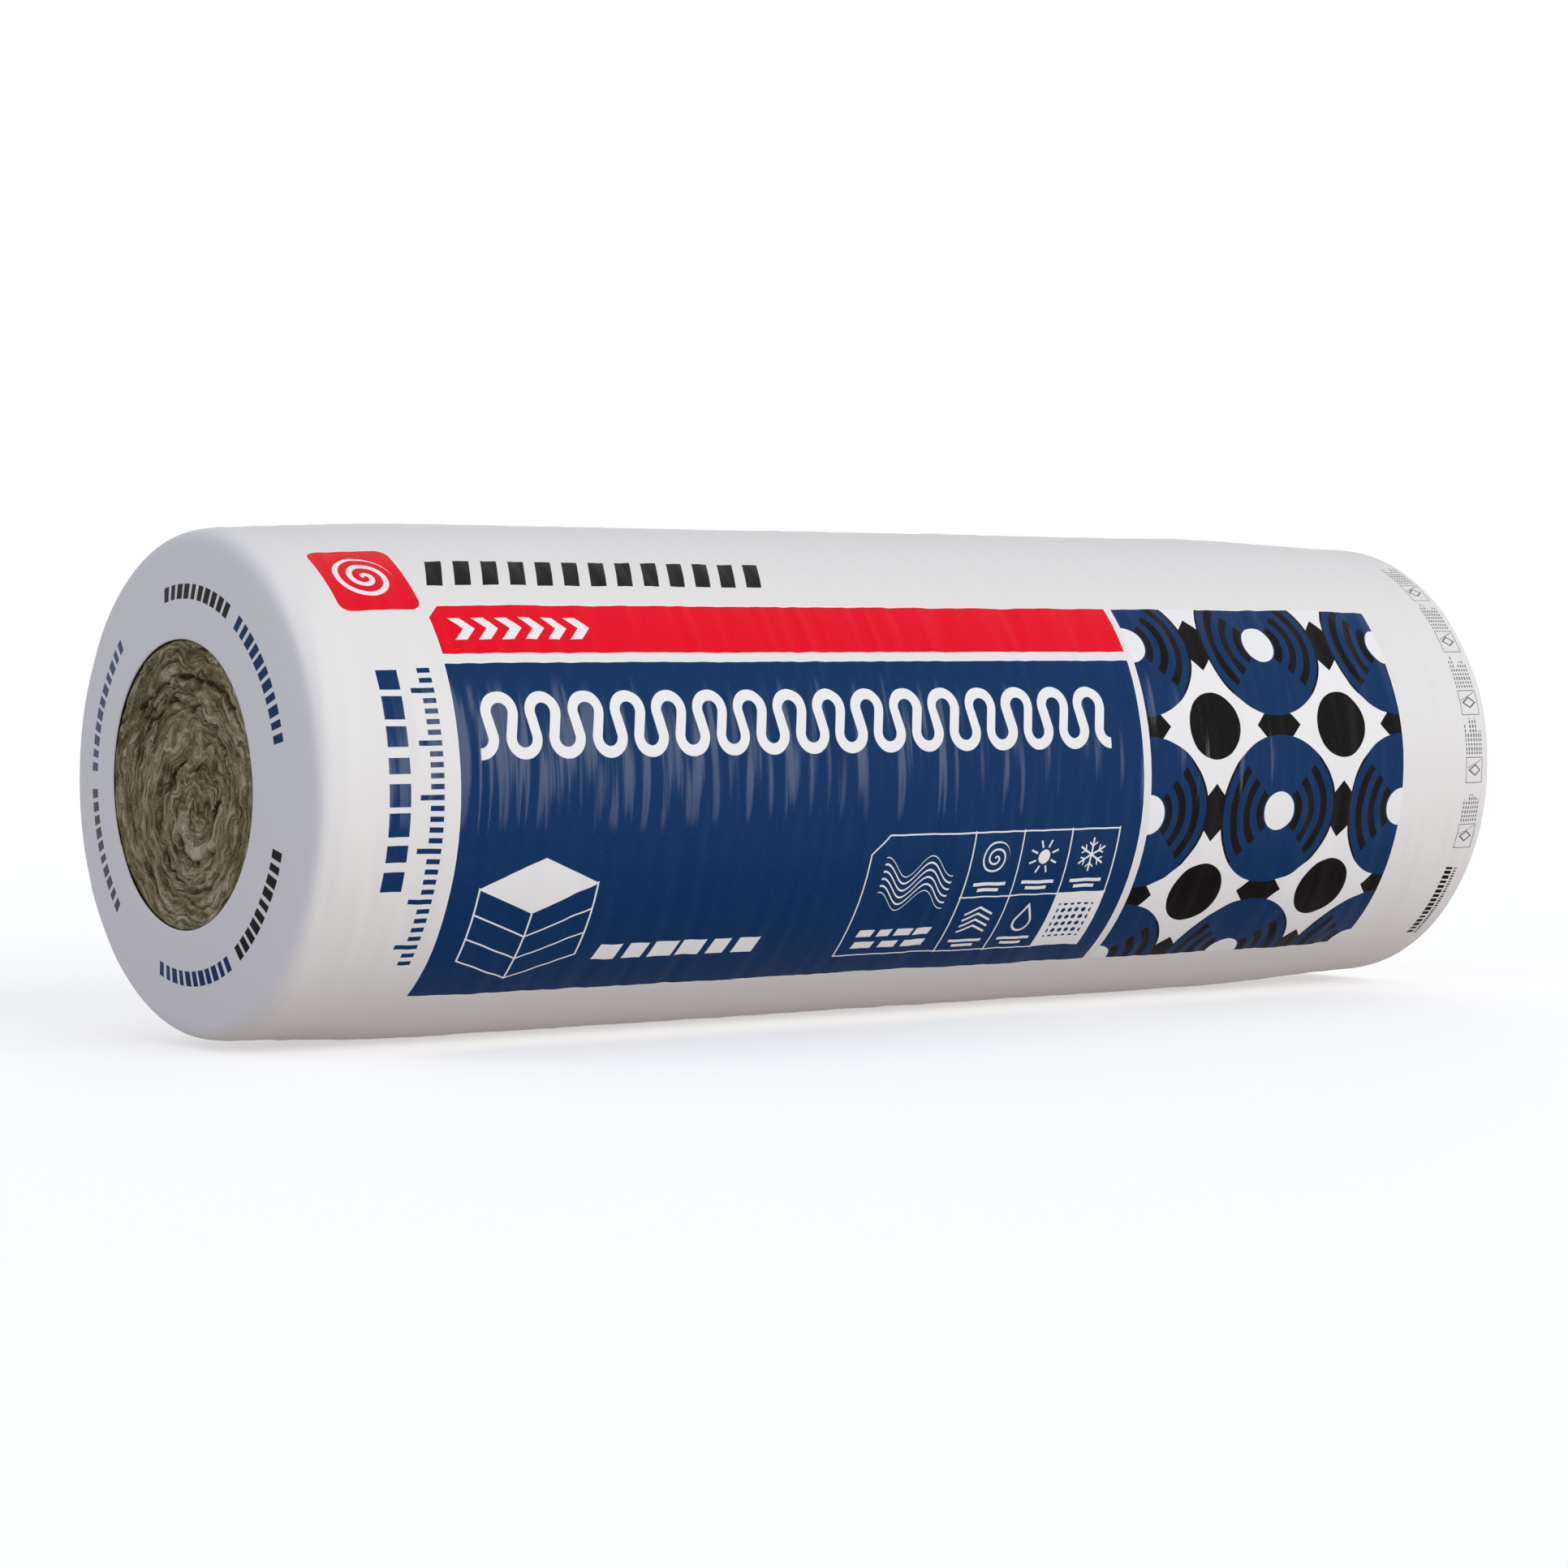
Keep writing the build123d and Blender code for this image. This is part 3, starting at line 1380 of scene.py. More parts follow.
@dataclass
class FilmSleeve:
    """The film: one sheet drawn over the roll, from the rim of one opening to the other's."""

    size: RollSize
    finish: FilmFinish
    segments: int = 96
    ring_gap: float = 0.00132
    hem_depth: float = 0.0012
    hem_inset: float = 0.0003
    end_gap: float = 0.0017
    ripple: Waves = Waves(0.00030, 0.0070, 0.070)
    crease: Waves = Waves(0.00130, 0.0135, 0.095)
    fold: Waves = Waves(0.00100, 0.034, 0.110)
    bulge: Waves = Waves(0.00050, 0.120, 0.130)
    wander: Waves = Waves(0.0060, 0.200, 0.120)
    end_zone: float = 0.120
    end_gain: float = 0.3
    top_calm: float = 0.65
    pleat_height: float = 0.00035
    pleats: float = 5.0
    pleat_length: float = 0.06
    lap_segment: int = 55
    lap_edge: float = 0.007
    lap_width: float = 0.30
    lap_height: float = 0.0008
    floor_gap: float = 0.0003

    def end_rings(self, end: EndShape) -> list[tuple[float, float]]:
        """Follows the film over one end, from the hem in the opening to the foot of the shoulder.

        Args:
            end: the end's shape.

        Returns:
            For each ring, its place along the axis and its radius.
        """
        inset = self.size.opening_radius - self.hem_inset
        hem = [(self.hem_depth, inset), (self.hem_depth / 3, inset)]
        outline = hem + end.profile(self.size, self.end_gap)
        return [(end.side * (self.size.half_length - depth), out) for depth, out in outline]

    def rings(self) -> list[tuple[float, float]]:
        """Follows the film from the near opening to the far one.

        Returns:
            For each ring, its place along the axis and its radius.
        """
        near, far = self.end_rings(NEAR_END), self.end_rings(FAR_END)
        start, stop = near[-1][0], far[-1][0]
        count = round((stop - start) / self.ring_gap)
        radius, half_length = self.size.radius, self.size.half_length
        body = []
        for step in range(1, count):
            x = start + (stop - start) * step / count
            near_loss = radius - NEAR_END.side_radius(radius, x + half_length)
            far_loss = radius - FAR_END.side_radius(radius, half_length - x)
            body.append((x, radius - near_loss - far_loss))
        return near + body + far[::-1]

    def angles(self) -> list[float]:
        """Where the film's points lie round the roll, with a close pair at the lapped edge."""
        even = [math.tau * segment / self.segments for segment in range(self.segments)]
        return sorted([*even, even[self.lap_segment] + self.lap_edge])

    def lift(self, x: float, out: float, angle: float) -> float:
        """Adds up the ripples, creases, folds and bulges at a place on the side.

        Args:
            x: the place along the axis.
            out: its distance from the axis.
            angle: its angle from the front side up.

        Returns:
            How far the film stands off its plain shape.
        """
        y, z = out * math.cos(angle), out * math.sin(angle)
        along = x + self.wander.height_at(0.0, y, z)
        gain = 1 + self.end_gain * max(1 - (self.size.half_length - abs(x)) / self.end_zone, 0.0)
        gain *= 1 - self.top_calm * math.sin(angle) ** 2
        small = sum(waves.height_at(along, y, z) for waves in (self.ripple, self.crease, self.fold))
        return gain * small + self.bulge.height_at(x, y, z) + self.lap(angle)

    def lap(self, angle: float) -> float:
        """How far the film's outer edge, which laps over its inner one at the back, stands out."""
        past = angle - math.tau * self.lap_segment / self.segments
        return self.lap_height * max(1 - past / self.lap_width, 0.0) if past > 0 else 0.0

    def pleat(self, out: float, angle: float) -> float:
        """How far the gathered film of the end ring stands out."""
        across, up = math.cos(angle) * self.pleats, math.sin(angle) * self.pleats
        return self.pleat_height * noise.noise(Vector((across, up, out / self.pleat_length)))

    def points(self, rings: list[tuple[float, float]], angles: list[float]) -> list[Point]:
        """Places the film's points, each moved straight out from the plain shape.

        Args:
            rings: each ring's place along the axis and its radius.
            angles: where the points of each ring lie round it.

        Returns:
            The points, ring after ring.
        """
        points = []
        for index, (x, out) in enumerate(rings):
            before, after = rings[max(index - 1, 0)], rings[min(index + 1, len(rings) - 1)]
            along, rise = after[0] - before[0], after[1] - before[1]
            span = math.hypot(along, rise)
            lean_x, lean_out = -rise / span, along / span
            for angle in angles:
                lifted = self.lift(x, out, angle) * abs(lean_out) + self.pleat(out, angle) * abs(lean_x)
                px, py, pz = self.size.point(x + lean_x * lifted, out + lean_out * lifted, angle)
                points.append((px, py, max(pz, self.floor_gap)))
        return points

    def build(self) -> bpy.types.Object:
        """Builds and dresses the sleeve.

        Returns:
            The film's object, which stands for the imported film.
        """
        rings, angles = self.rings(), self.angles()
        faces = ring_faces(len(rings), len(angles))
        sleeve = new_mesh("film_sleeve", self.points(rings, angles), faces)
        sleeve.data.materials.append(self.finish.material(self.size))
        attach(sleeve, "root")
        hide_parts("film_wrapper")
        flat_length = sum(math.dist(a, b) for a, b in zip(rings, rings[1:]))
        return sleeve


@dataclass(frozen=True)
class WoolFinish:
    """Dull olive-brown felt in thin crumpled layers.

    A noise is given by its grains to a metre, and fuzz, tufts and patches by their detail too.
    """

    dark: Colour = paint(0.040, 0.030, 0.012)
    middle: Colour = paint(0.212, 0.172, 0.081)
    pale: Colour = paint(0.550, 0.492, 0.345)
    stops: Point = (0.10, 0.48, 0.95)
    roughness: float = 0.95
    specular: float = 0.15
    fibre_height: float = 0.0014
    grain_roughness: float = 0.65
    layer_waves: tuple[tuple[float, float], ...] = ((140.0, 0.0032), (380.0, 0.0012))
    strand_scales: Point = (430.0, 45.0, 45.0)
    strand_detail: float = 3.0
    strand_roughness: float = 0.6
    crack_scales: Point = (150.0, 26.0, 26.0)
    crack_fineness: float = 24.0
    cracked_scale: float = 30.0
    cracked_gain: float = 5.0
    cracked_level: float = 2.3
    fuzz: tuple[float, float] = (700.0, 3.0)
    tufts: tuple[float, float] = (95.0, 3.0)
    patches: tuple[float, float] = (24.0, 2.0)
    # How strongly the stored fold, with its painted light and shade, sets the wool's tone.
    fold_light_and_tone: float = 0.38
    strand_tone: float = 1.60
    fuzz_tone: float = 0.85
    tuft_tone: float = 0.50
    patch_tone: float = 0.35
    # How dark the cracks are painted, as painted shade in them.
    crack_shade: float = 0.40
    tone_level: float = 1.145
    fuzz_relief: float = 0.4
    tuft_relief: float = 0.6
    crack_relief: float = 0.5

    def material(self) -> bpy.types.Material:
        """Builds the wool's material from the folds and layers stored on its mesh.

        Returns:
            The finished material.
        """
        material, bench = new_material("mineral_wool")
        _, y, z = place = bench.object_place()
        layer = self._stored(bench, "layer")
        for scale, height in self.layer_waves:
            layer = layer + (self._even(bench, place, scale) - 0.5) * height
        layered = (layer, y, z)
        strands = bench.grain(layered, self.strand_scales, self.strand_detail, self.strand_roughness)
        cracks = self._cracks(bench, layered, place)
        fuzz = self._even(bench, place, *self.fuzz)
        tufts = self._even(bench, place, *self.tufts)
        patches = self._even(bench, place, *self.patches)
        # The stored fold carries the painted light and shade of the wool's relief, seams, slit and creases.
        tone = self._stored(bench, "fold") * self.fold_light_and_tone + strands * self.strand_tone
        tone = tone + fuzz * self.fuzz_tone + tufts * self.tuft_tone + patches * self.patch_tone
        # Painted shade: the cracks darken the tone.
        tone = tone - cracks * self.crack_shade - self.tone_level
        stops = list(zip(self.stops, (self.dark, self.middle, self.pale)))
        ramp = bench.node("ShaderNodeValToRGB", {"stops": stops}, {0: tone.clamped()})
        relief = strands + fuzz * self.fuzz_relief + tufts * self.tuft_relief - cracks * self.crack_relief
        bench.skin(ramp.outputs["Color"], self.roughness, self.specular, relief, self.fibre_height)
        return material

    def _cracks(self, bench: NodeBench, layered: tuple[Signal, ...], place: tuple[Signal, ...]) -> Signal:
        """Makes thin cracks between the layers, in some places only, which the material paints dark as
        shade.

        Args:
            bench: the nodes of the wool's material.
            layered: the place with the layer instead of X.
            place: X, Y and Z in metres.

        Returns:
            1 in the middle of a crack, falling to 0 beside it.
        """
        middle = abs(bench.grain(layered, self.crack_scales, detail=1.0) - 0.5)
        cracks = bench.scaled(middle, -self.crack_fineness, 1.0, clamp=True)
        where = self._even(bench, place, self.cracked_scale)
        return cracks * bench.scaled(where, self.cracked_gain, -self.cracked_level, clamp=True)

    @staticmethod
    def _stored(bench: NodeBench, name: str) -> Signal:
        """A value that is stored at each point of the mesh."""
        return bench.signal(bench.node("ShaderNodeAttribute", {"attribute_name": name}), "Fac")

    def _even(
        self, bench: NodeBench, place: tuple[Signal, ...], scale: float, detail: float = 1.0
    ) -> Signal:
        """Noise that is the same all ways, so many grains to a metre."""
        return bench.grain(place, (scale, scale, scale), detail, self.grain_roughness)


@dataclass(frozen=True)
class WoolCrease:
    """A deep crease painted dark as shade, or a lifted fold painted pale as a highlight, along part of an
    oval on the wool's end.
    """

    FADE: ClassVar[float] = 9.0
    NEAREST: ClassVar[float] = 0.01

    centre: tuple[float, float]
    radii: tuple[float, float]
    start: float
    stop: float
    width: float
    height: float
    tone: float

    def strength(self, y: float, z: float) -> float:
        """How strong the crease is at a place on the end.

        Args:
            y: across the end from the roll's axis.
            z: up the end from the roll's axis.

        Returns:
            1 along the middle of the crease, falling to 0 beside it and past its ends.
        """
        across, up = (y - self.centre[0]) / self.radii[0], (z - self.centre[1]) / self.radii[1]
        out = max(math.hypot(across, up), self.NEAREST)
        beside = (out - 1) * math.hypot(self.radii[0] * across, self.radii[1] * up) / out
        turn = math.degrees(math.atan2(up, across)) % 360
        past = max(self.start - turn, turn - self.stop, 0.0) / self.FADE
        return math.exp(-((beside / self.width) ** 2) - past**2)


# Each oval's centre and radii, the crease's two ends in degrees, its width, height and tone: below 0 a
# painted shade in a crease, above 0 a painted highlight on a fold.
WOOL_CREASES = (
    WoolCrease((-0.012, 0.020), (0.095, 0.062), 40.0, 130.0, 0.0013, -0.0045, -0.85),
    WoolCrease((0.010, -0.005), (0.085, 0.070), 70.0, 185.0, 0.0012, -0.0040, -0.75),
    WoolCrease((-0.028, -0.022), (0.036, 0.034), 232.0, 321.0, 0.0011, -0.0040, -0.75),
    WoolCrease((-0.030, -0.020), (0.027, 0.030), 205.0, 355.0, 0.0050, 0.0022, 0.62),
    WoolCrease((-0.035, -0.060), (0.035, 0.033), 215.0, 330.0, 0.0011, -0.0035, -0.60),
    WoolCrease((0.000, 0.000), (0.075, 0.075), 15.0, 45.0, 0.0065, -0.0020, -0.50),
    WoolCrease((0.004, 0.002), (0.064, 0.060), 20.0, 105.0, 0.0016, -0.0050, -0.80),
)


@dataclass(frozen=True)
class EndNoise:
    """Smooth noise over the wool's end: its strength, the size of its lumps and its seed."""

    strength: float
    size: float
    seed: float

    def at(self, y: float, z: float, end_seed: float) -> float:
        """The noise at a place on the end."""
        place = Vector((y / self.size, z / self.size, end_seed + self.seed))
        return self.strength * noise.noise(place)


@dataclass(frozen=True)
class LayerNoise:
    """Smooth noise that runs along the wool's layers: its strength and its size across them."""

    LENGTH: ClassVar[float] = 0.035

    strength: float
    thickness: float
    shift: float

    def at(self, layer: float, y: float, z: float, end_seed: float) -> float:
        """The noise at a place on the end, in the layer that passes there."""
        along = (y / self.LENGTH + self.shift, z / self.LENGTH + end_seed)
        return self.strength * noise.noise(Vector((layer / self.thickness, *along)))


@dataclass
class WoolMat:
    """The rolled mat: two crumpled ends in fine detail, and a plain side that the film hides."""

    DRIFT_STEPS: ClassVar[int] = 4
    END_SEED: ClassVar[float] = 5.0

    size: RollSize
    finish: WoolFinish
    segments: int = 336
    ring_gap: float = 0.00092
    shown_radius: float = 0.1175
    turn_thickness: float = 0.031
    core_radius: float = 0.030
    core_offset: float = 0.0376
    core_angle: float = math.radians(225.0)
    under_film: float = 0.0030
    hidden_gap: float = 0.009
    hidden_from: float = 0.125
    rim_gap: float = 0.0010
    rim_calm: float = 0.009
    rim_crack: float = 0.1102
    crack_spread: float = 0.0018
    crack_depth: float = 0.008
    crown: float = 0.0016
    crumple: float = 0.55
    core_crumple: float = 0.75
    core_crumple_reach: float = 0.055
    broad_warp: EndNoise = EndNoise(0.0090, 0.045, 0.0)
    small_warp: EndNoise = EndNoise(0.0090, 0.016, 1.7)
    fine_warp: EndNoise = EndNoise(0.0042, 0.0075, 3.1)
    broad_layers: LayerNoise = LayerNoise(0.40, 0.0095, 0.0)
    thin_layers: LayerNoise = LayerNoise(0.45, 0.0038, 9.0)
    lumps: EndNoise = EndNoise(0.35, 0.009, 6.3)
    bend_y: EndNoise = EndNoise(0.006, 0.012, 11.0)
    bend_z: EndNoise = EndNoise(0.006, 0.012, 12.4)
    relief: float = 0.0024
    seam_depth: float = 0.0036
    seam_width: float = 0.0013
    # How dark the open seams between the turns are painted, as painted shade in them.
    seam_shade: float = 0.8
    seam_level: float = 0.35
    seam_patches: EndNoise = EndNoise(1.4, 0.050, 8.0)
    slit_place: tuple[float, float] = (-0.0546, -0.0168)
    slit_size: tuple[float, float] = (0.0024, 0.0080)
    slit_angle: float = math.radians(129.0)
    slit_depth: float = 0.008
    # How dark the slit at the core is painted, as painted shade in it.
    slit_shade: float = 3.5

    def turn_radius(self, y: float, z: float) -> tuple[float, float]:
        """The wound radius and angle of a place on the end.

        The turns' centre drifts from the core to the roll's axis as they grow, so the radius
        is found in a few steps.

        Args:
            y: across the end from the roll's axis.
            z: up the end from the roll's axis.

        Returns:
            The radius of the turn through the place, and its angle round that turn's centre.
        """
        away = math.hypot(y, z)
        core_y = self.core_offset * math.cos(self.core_angle)
        core_z = self.core_offset * math.sin(self.core_angle)
        for _ in range(self.DRIFT_STEPS):
            share = max(1 - away / self.size.radius, 0.0)
            away = math.hypot(y - core_y * share, z - core_z * share)
        share = max(1 - away / self.size.radius, 0.0)
        return away, math.atan2(z - core_z * share, y - core_y * share)

    def folds(self, y: float, z: float, end: int) -> tuple[float, float, float]:
        """The crumpled layers at a place on one end.

        Args:
            y: across the end from the roll's axis.
            z: up the end from the roll's axis.
            end: -1 at the near end, 1 at the far one.

        Returns:
            How far the wool stands out, how pale the fold is from -1 to 1, and the layer's
            place across the turns in metres. The paleness is the layers' own tone with painted
            light and shade: paler where the wool stands out and darker where it sinks.
        """
        away, angle = self.turn_radius(y, z)
        seed = self.END_SEED * end
        near_core = math.exp(-((away / self.core_crumple_reach) ** 2))
        crumple = self.crumple + self.core_crumple * near_core
        small = self.small_warp.at(y, z, seed) + self.fine_warp.at(y, z, seed)
        layer = away + self.broad_warp.at(y, z, seed) + crumple * small
        fold = self.broad_layers.at(layer, y, z, seed) + self.thin_layers.at(layer, y, z, seed)
        fold += self.lumps.at(y, z, seed)
        crevice = self.crevice(layer, angle, self.seam_level + self.seam_patches.at(y, z, seed))
        slit = self.slit(y, z)
        # Painted light and shade: the tone follows the fold, so raised wool is paler and sunk wool darker.
        height = self.relief * fold - self.seam_depth * crevice - self.slit_depth * slit
        tone = fold - self.seam_shade * crevice - self.slit_shade * slit
        bent_y, bent_z = y + self.bend_y.at(y, z, seed), z + self.bend_z.at(y, z, seed)
        # Each crease sinks the wool and paints shade into it, or lifts it and paints a highlight on it.
        for crease in WOOL_CREASES:
            strength = crease.strength(bent_y, bent_z)
            height += crease.height * strength
            tone += crease.tone * strength
        return height, tone, layer

    def crevice(self, layer: float, angle: float, presence: float) -> float:
        """Works out how open the seam between two turns is.

        Args:
            layer: the layer's place across the turns.
            angle: the angle round the turn's centre.
            presence: how much of the seam shows there. It is held between 0 and 1.

        Returns:
            1 in an open seam, falling to 0 beside it.
        """
        turn = (layer - self.core_radius) / self.turn_thickness + (angle - self.core_angle) / math.tau
        seam = abs(turn - round(turn)) * self.turn_thickness
        return math.exp(-((seam / self.seam_width) ** 2)) * held(presence)

    def slit(self, y: float, z: float) -> float:
        """Works out the narrow slit at the core.

        Args:
            y: across the end from the roll's axis.
            z: up the end from the roll's axis.

        Returns:
            1 in the slit, falling to 0 round it.
        """
        across, up = y - self.slit_place[0], z - self.slit_place[1]
        cosine, sine = math.cos(self.slit_angle), math.sin(self.slit_angle)
        lengthwise, sideways = across * cosine + up * sine, up * cosine - across * sine
        reach = (sideways / self.slit_size[0]) ** 2 + (lengthwise / self.slit_size[1]) ** 2
        return math.exp(-(reach**2))

    def end_rings(self, end: int) -> list[list[WoolPoint]]:
        """Builds the detailed rings of one end.

        Args:
            end: -1 at the near end, 1 at the far one.

        Returns:
            The rings, from the middle outwards.
        """
        count = round(self.shown_radius / self.ring_gap)
        return [self.end_ring(self.shown_radius * ring / count, end) for ring in range(1, count + 1)]

    def end_ring(self, out: float, end: int) -> list[WoolPoint]:
        """Builds one detailed ring, with the dark gap that opens just inside the film's rim.

        Args:
            out: the ring's radius.
            end: -1 at the near end, 1 at the far one.

        Returns:
            The ring's points.
        """
        crown = self.crown * max(1 - (out / self.size.opening_radius) ** 2, 0.0)
        calm = held((self.size.opening_radius + self.rim_calm / 3 - out) / self.rim_calm)
        ring = []
        for segment in range(self.segments):
            angle = math.tau * segment / self.segments
            y, z = -out * math.cos(angle), out * math.sin(angle)
            height, fold, layer = self.folds(y, z, end)
            edge = self.rim_crack - self.crack_spread * max(y / out, 0.0)
            crack = self.crack_depth * held((out - edge) / self.ring_gap)
            x = end * (self.size.half_length + (crown - self.rim_gap + height * calm - crack))
            ring.append(((x, y, self.size.radius + z), fold, layer))
        return ring

    def middle(self, end: int) -> WoolPoint:
        """Builds the point in the middle of one end.

        Args:
            end: -1 at the near end, 1 at the far one.

        Returns:
            The point.
        """
        height, fold, layer = self.folds(0.0, 0.0, end)
        x = end * (self.size.half_length + (self.crown - self.rim_gap + height))
        return (x, 0.0, self.size.radius), fold, layer

    def side_rings(self) -> list[list[WoolPoint]]:
        """Builds the plain rings that the film hides.

        Returns:
            The rings, from the near end to the far one.
        """
        profile = []
        for end in (NEAR_END, FAR_END):
            whole = end.profile(self.size, self.hidden_gap)
            outline = [(depth, out) for depth, out in whole if out > self.hidden_from]
            half = [
                (end.side * (self.size.half_length - depth - self.under_film), out - self.under_film)
                for depth, out in outline + [(end.swell_length, self.size.radius)]
            ]
            profile.extend(half if end.side < 0 else half[::-1])
        return [self.hidden_ring(x, out) for x, out in profile]

    def hidden_ring(self, x: float, out: float) -> list[WoolPoint]:
        """A plain ring under the film."""
        angles = (math.tau * segment / self.segments for segment in range(self.segments))
        return [(self.size.point(x, out, angle), 0.0, 0.0) for angle in angles]

    def faces(self, rings: int) -> list[tuple[int, ...]]:
        """Joins the rings, and closes both ends round their middle points.

        Args:
            rings: how many rings there are.

        Returns:
            Each face's point numbers. The two middle points come after all the rings.
        """
        faces: list[tuple[int, ...]] = ring_faces(rings, self.segments)
        first = rings * self.segments
        top, last = first - self.segments, first + 1
        for segment in range(self.segments):
            follow = (segment + 1) % self.segments
            faces.append((follow, segment, first))
            faces.append((top + segment, top + follow, last))
        return faces

    def build(self) -> bpy.types.Object:
        """Builds and dresses the mat.

        Returns:
            The wool's object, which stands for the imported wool.
        """
        rings = self.end_rings(-1) + self.side_rings() + self.end_rings(1)[::-1]
        points = [point for ring in rings for point in ring] + [self.middle(-1), self.middle(1)]
        faces = self.faces(len(rings))
        mat = new_mesh("wool_mat", [place for place, _, _ in points], faces)
        # The fold attribute carries the painted light and shade of the wool's end, with the layers' own
        # tone.
        for name, column in (("fold", 1), ("layer", 2)):
            attribute = mat.data.attributes.new(name, "FLOAT", "POINT")
            attribute.data.foreach_set("value", [point[column] for point in points])
        mat.data.materials.append(self.finish.material())
        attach(mat, "root")
        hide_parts("wool_roll")
        log.info("wool_mat: %d faces", len(faces))
        return mat


@dataclass(frozen=True)
class Bearing:
    """A direction from the roll: to the right of its front side, and up from the floor."""

    right: float
    up: float

    def ahead(self) -> Vector:
        """The direction as a vector of length 1."""
        right, up = math.radians(self.right), math.radians(self.up)
        return Vector((math.sin(right) * math.cos(up), -math.cos(right) * math.cos(up), math.sin(up)))


@dataclass(frozen=True)
class Sun:
    """A soft far light that leaves no mirror image of itself."""

    DISTANCE: ClassVar[float] = 5.0

    name: str
    bearing: Bearing
    strength: float
    width: float
    colour: Point

    def light(self) -> None:
        """Adds the light to the scene."""
        data = bpy.data.lights.new(self.name, "SUN")
        data.energy = self.strength
        data.angle = math.radians(self.width)
        data.color = self.colour
        sun = placed(self.name, data, Vector(), self.bearing, self.DISTANCE)
        sun.visible_glossy = False


def placed(name: str, data: Any, target: Vector, bearing: Bearing, distance: float) -> bpy.types.Object:
    """Puts a lamp or camera so far from a target, facing it.

    Args:
        name: the new object's name.
        data: the lamp or camera itself.
        target: what it faces.
        bearing: the direction from the target to it.
        distance: how far away it is.

    Returns:
        The new object.
    """
    thing = bpy.data.objects.new(name, data)
    thing.location = target + bearing.ahead() * distance
    thing.rotation_euler = bearing.ahead().to_track_quat("Z", "Y").to_euler()
    bpy.context.scene.collection.objects.link(thing)
    return thing


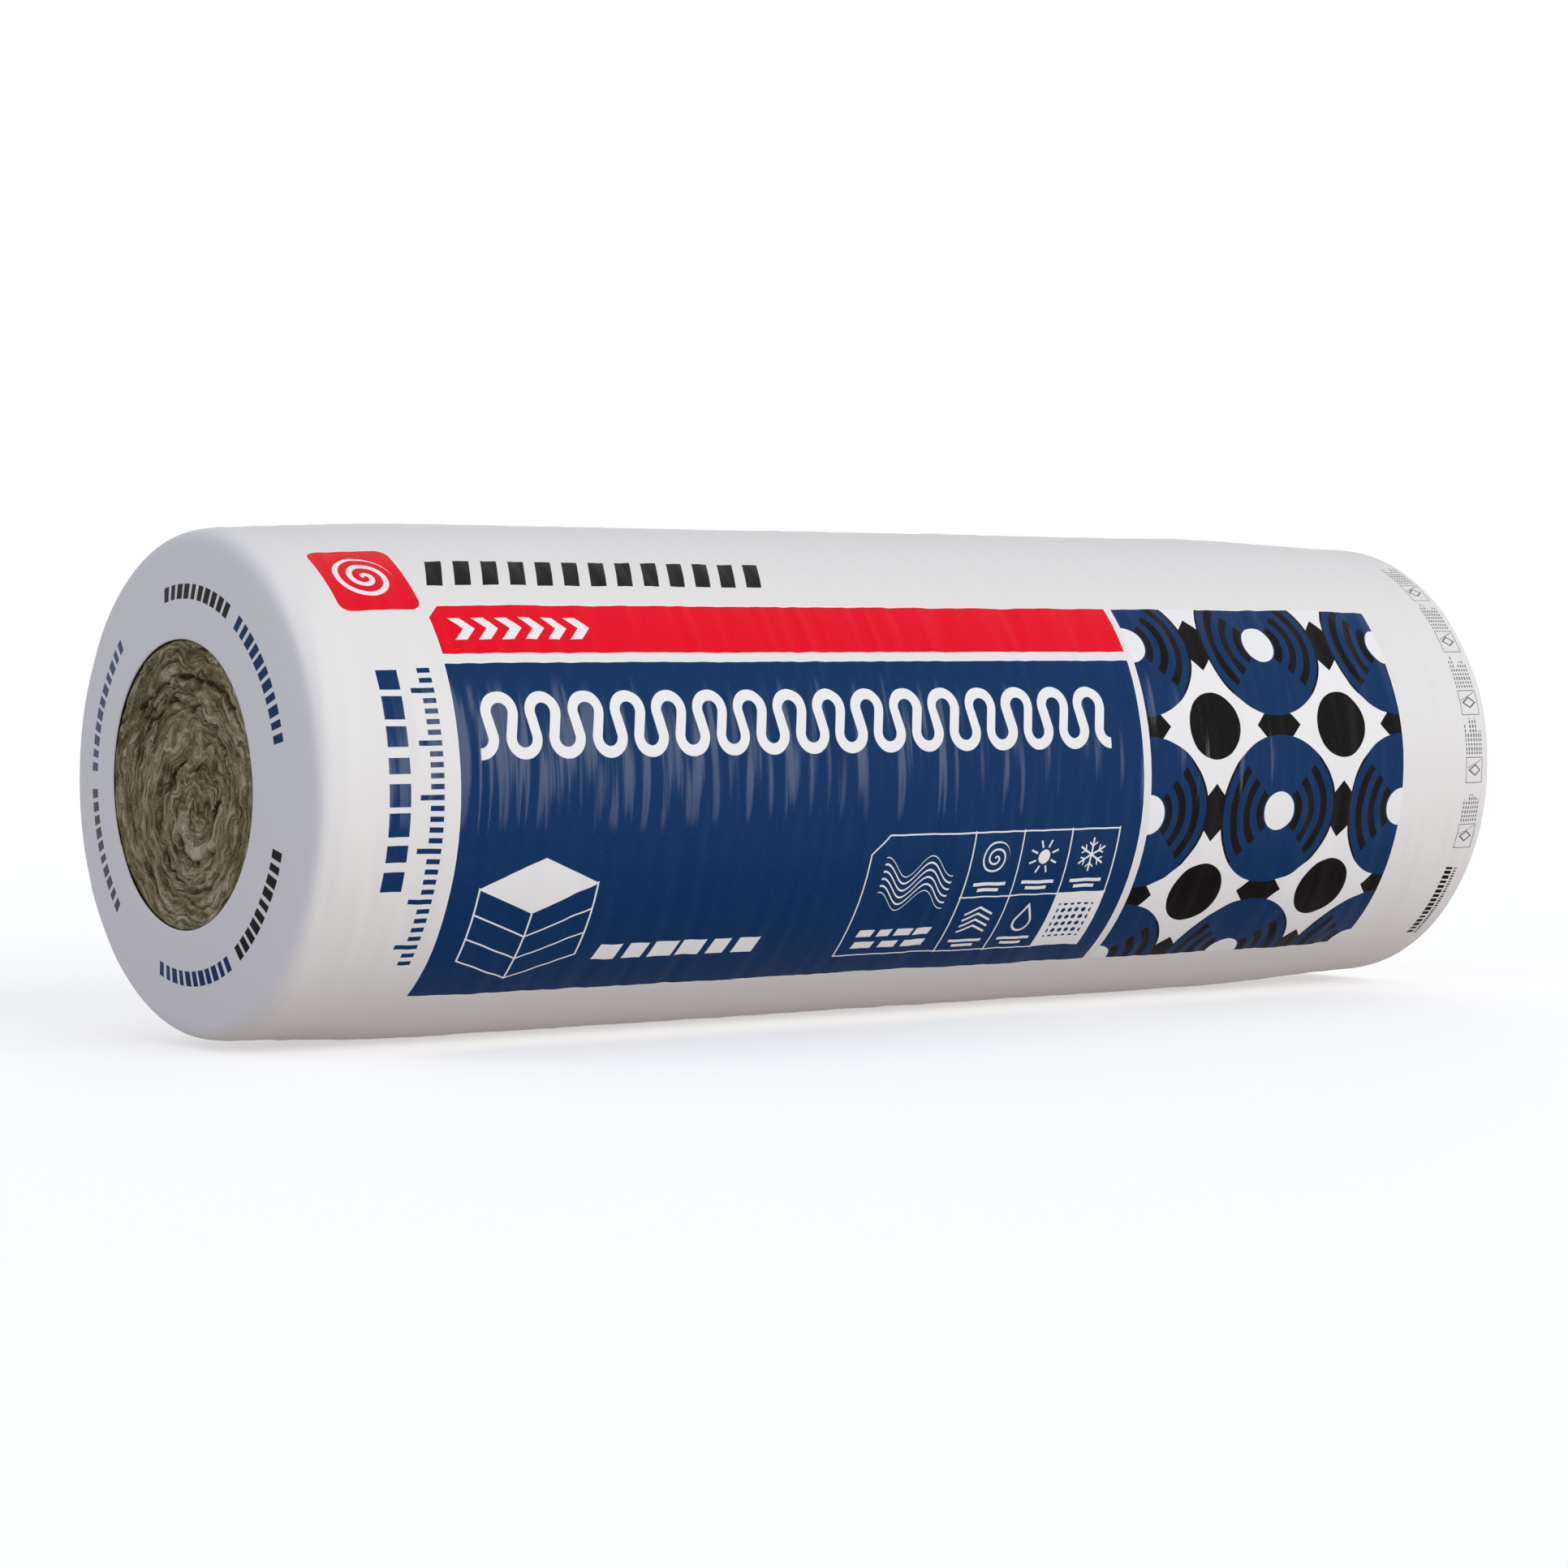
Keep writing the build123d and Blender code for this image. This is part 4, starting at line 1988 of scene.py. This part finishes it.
@dataclass(frozen=True)
class Studio:
    """The pale floor, the soft light and the camera."""

    camera_target: Vector = Vector((-0.0394, 0.0, 0.1923))
    camera_from: Bearing = Bearing(-36.548, 1.880)
    camera_distance: float = 3.5148
    camera_lens: float = 95.68
    camera_sensor: float = 36.0
    sky: Colour = paint(0.93, 0.95, 1.0)
    sky_strength: float = 0.56
    suns: tuple[Sun, ...] = (
        Sun("key", Bearing(12.0, 18.0), strength=1.57, width=50.0, colour=(1.0, 0.99, 0.97)),
        Sun("fill", Bearing(-90.0, 12.0), strength=0.32, width=50.0, colour=(0.14, 0.33, 1.0)),
        Sun("rear", Bearing(140.0, 6.0), strength=0.9, width=20.0, colour=(1.0, 0.99, 0.97)),
    )
    panel_from: Bearing = Bearing(22.0, 12.0)
    panel_distance: float = 8.0
    panel_size: tuple[float, float] = (2.25, 8.5)
    panel_radiance: float = 10.5
    floor_size: float = 60.0
    floor_clear: float = 6.0
    floor_shadow_share: float = 0.2
    floor_bounce: Colour = paint(0.320, 0.295, 0.290)
    underglow: Colour = paint(1.0, 0.92, 0.905)
    underglow_strength: float = 0.235
    floor_seen: Colour = paint(0.86, 0.86, 0.86)
    floor_glow: float = 0.38
    mirror_from: float = 0.25
    mirror_fade: float = 0.15

    def build(self) -> None:
        """Sets up everything that isn't part of the roll."""
        self._camera()
        self._sky()
        for sun in self.suns:
            sun.light()
        self._panel()
        self._floor()
        bpy.context.scene.view_settings.view_transform = "Standard"
        log.info("studio: floor, sky, lamps and camera")

    def _camera(self) -> None:
        """Puts the camera where the photograph was taken from."""
        data = bpy.data.cameras.new("camera")
        data.lens = self.camera_lens
        data.sensor_width = self.camera_sensor
        camera = placed("camera", data, self.camera_target, self.camera_from, self.camera_distance)
        bpy.context.scene.camera = camera

    def _sky(self) -> None:
        """Makes a plain sky: white where it is seen or mirrored, dimmer as a light."""
        world = bpy.data.worlds.new("sky")
        world.use_nodes = True
        bpy.context.scene.world = world
        bench = NodeBench(world.node_tree)
        dim = bench.shader("ShaderNodeBackground", {"Color": self.sky, "Strength": self.sky_strength})
        white = bench.shader("ShaderNodeBackground", {"Color": PURE_WHITE, "Strength": 1.0})
        mixed = bench.either(self._seen(bench), dim, white)
        bench.node("ShaderNodeOutputWorld", None, {"Surface": mixed})

    @staticmethod
    def _seen(bench: NodeBench) -> Signal:
        """Tells apart the rays that show the background: seen straight, mirrored or through glass.

        Args:
            bench: the nodes of a material or of the sky.

        Returns:
            1 for those rays, otherwise 0.
        """
        path = bench.node("ShaderNodeLightPath")
        camera, glossy = bench.signal(path, "Is Camera Ray"), bench.signal(path, "Is Glossy Ray")
        return camera.at_least(glossy).at_least(bench.signal(path, "Is Transmission Ray"))

    def _panel(self) -> None:
        """Adds a large softbox that shows only as the streaks of light on the creases."""
        data = bpy.data.lights.new("panel", "AREA")
        data.shape = "ELLIPSE"
        data.size, data.size_y = self.panel_size
        data.energy = self.panel_radiance * math.pi * data.size * data.size_y
        panel = placed("panel", data, Vector(), self.panel_from, self.panel_distance)
        panel.visible_diffuse = False
        panel.visible_camera = False

    def _floor(self) -> None:
        """Lays a large floor under the roll."""
        half = self.floor_size / 2
        corners = [(-half, -half, 0.0), (half, -half, 0.0), (half, half, 0.0), (-half, half, 0.0)]
        floor = new_mesh("floor", corners, [(0, 1, 2, 3)])
        floor.data.materials.append(self._floor_material())

    def _floor_material(self) -> bpy.types.Material:
        """Makes the floor pale, with the roll's shadow, and plain white further out.

        The film's mirror image of it is plain sky from a little way off, so that the tall
        panel shows in the creases down to their ends.

        Returns:
            The finished material.
        """
        material, bench = new_material("floor")
        x, y, _ = bench.object_place()
        mirrored = bench.signal(bench.node("ShaderNodeLightPath"), "Is Glossy Ray")
        away = bench.scaled(bench.length(x, y), 1 / self.floor_clear, -self.floor_shadow_share, clamp=True)
        dull = bench.shader("ShaderNodeBsdfDiffuse", {"Color": self.floor_bounce})
        bounce = bench.both(dull, bench.glow(self.underglow, self.underglow_strength))
        matt = bench.shader("ShaderNodeBsdfDiffuse", {"Color": self.floor_seen})
        lit = bench.both(matt, bench.glow(PURE_WHITE, self.floor_glow))
        shown = bench.either(away, lit, bench.glow(PURE_WHITE, 1.0))
        plain = bench.either(self._seen(bench) - mirrored, bounce, shown)
        beyond = bench.scaled(abs(y) - self.mirror_from, 1 / self.mirror_fade, 0.0, clamp=True)
        clear = bench.shader("ShaderNodeBsdfTransparent")
        bench.surface(bench.either(beyond * mirrored, plain, clear))
        return material


def main() -> None:
    """Builds the wool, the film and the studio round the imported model."""
    logging.basicConfig(level=logging.INFO, format="%(name)s: %(message)s")
    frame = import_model()
    size = RollSize.measured(frame["nodes"])
    WoolMat(size, WoolFinish()).build()
    FilmSleeve(size, FilmFinish()).build()
    Studio().build()


if __name__ == "__main__":
    main()
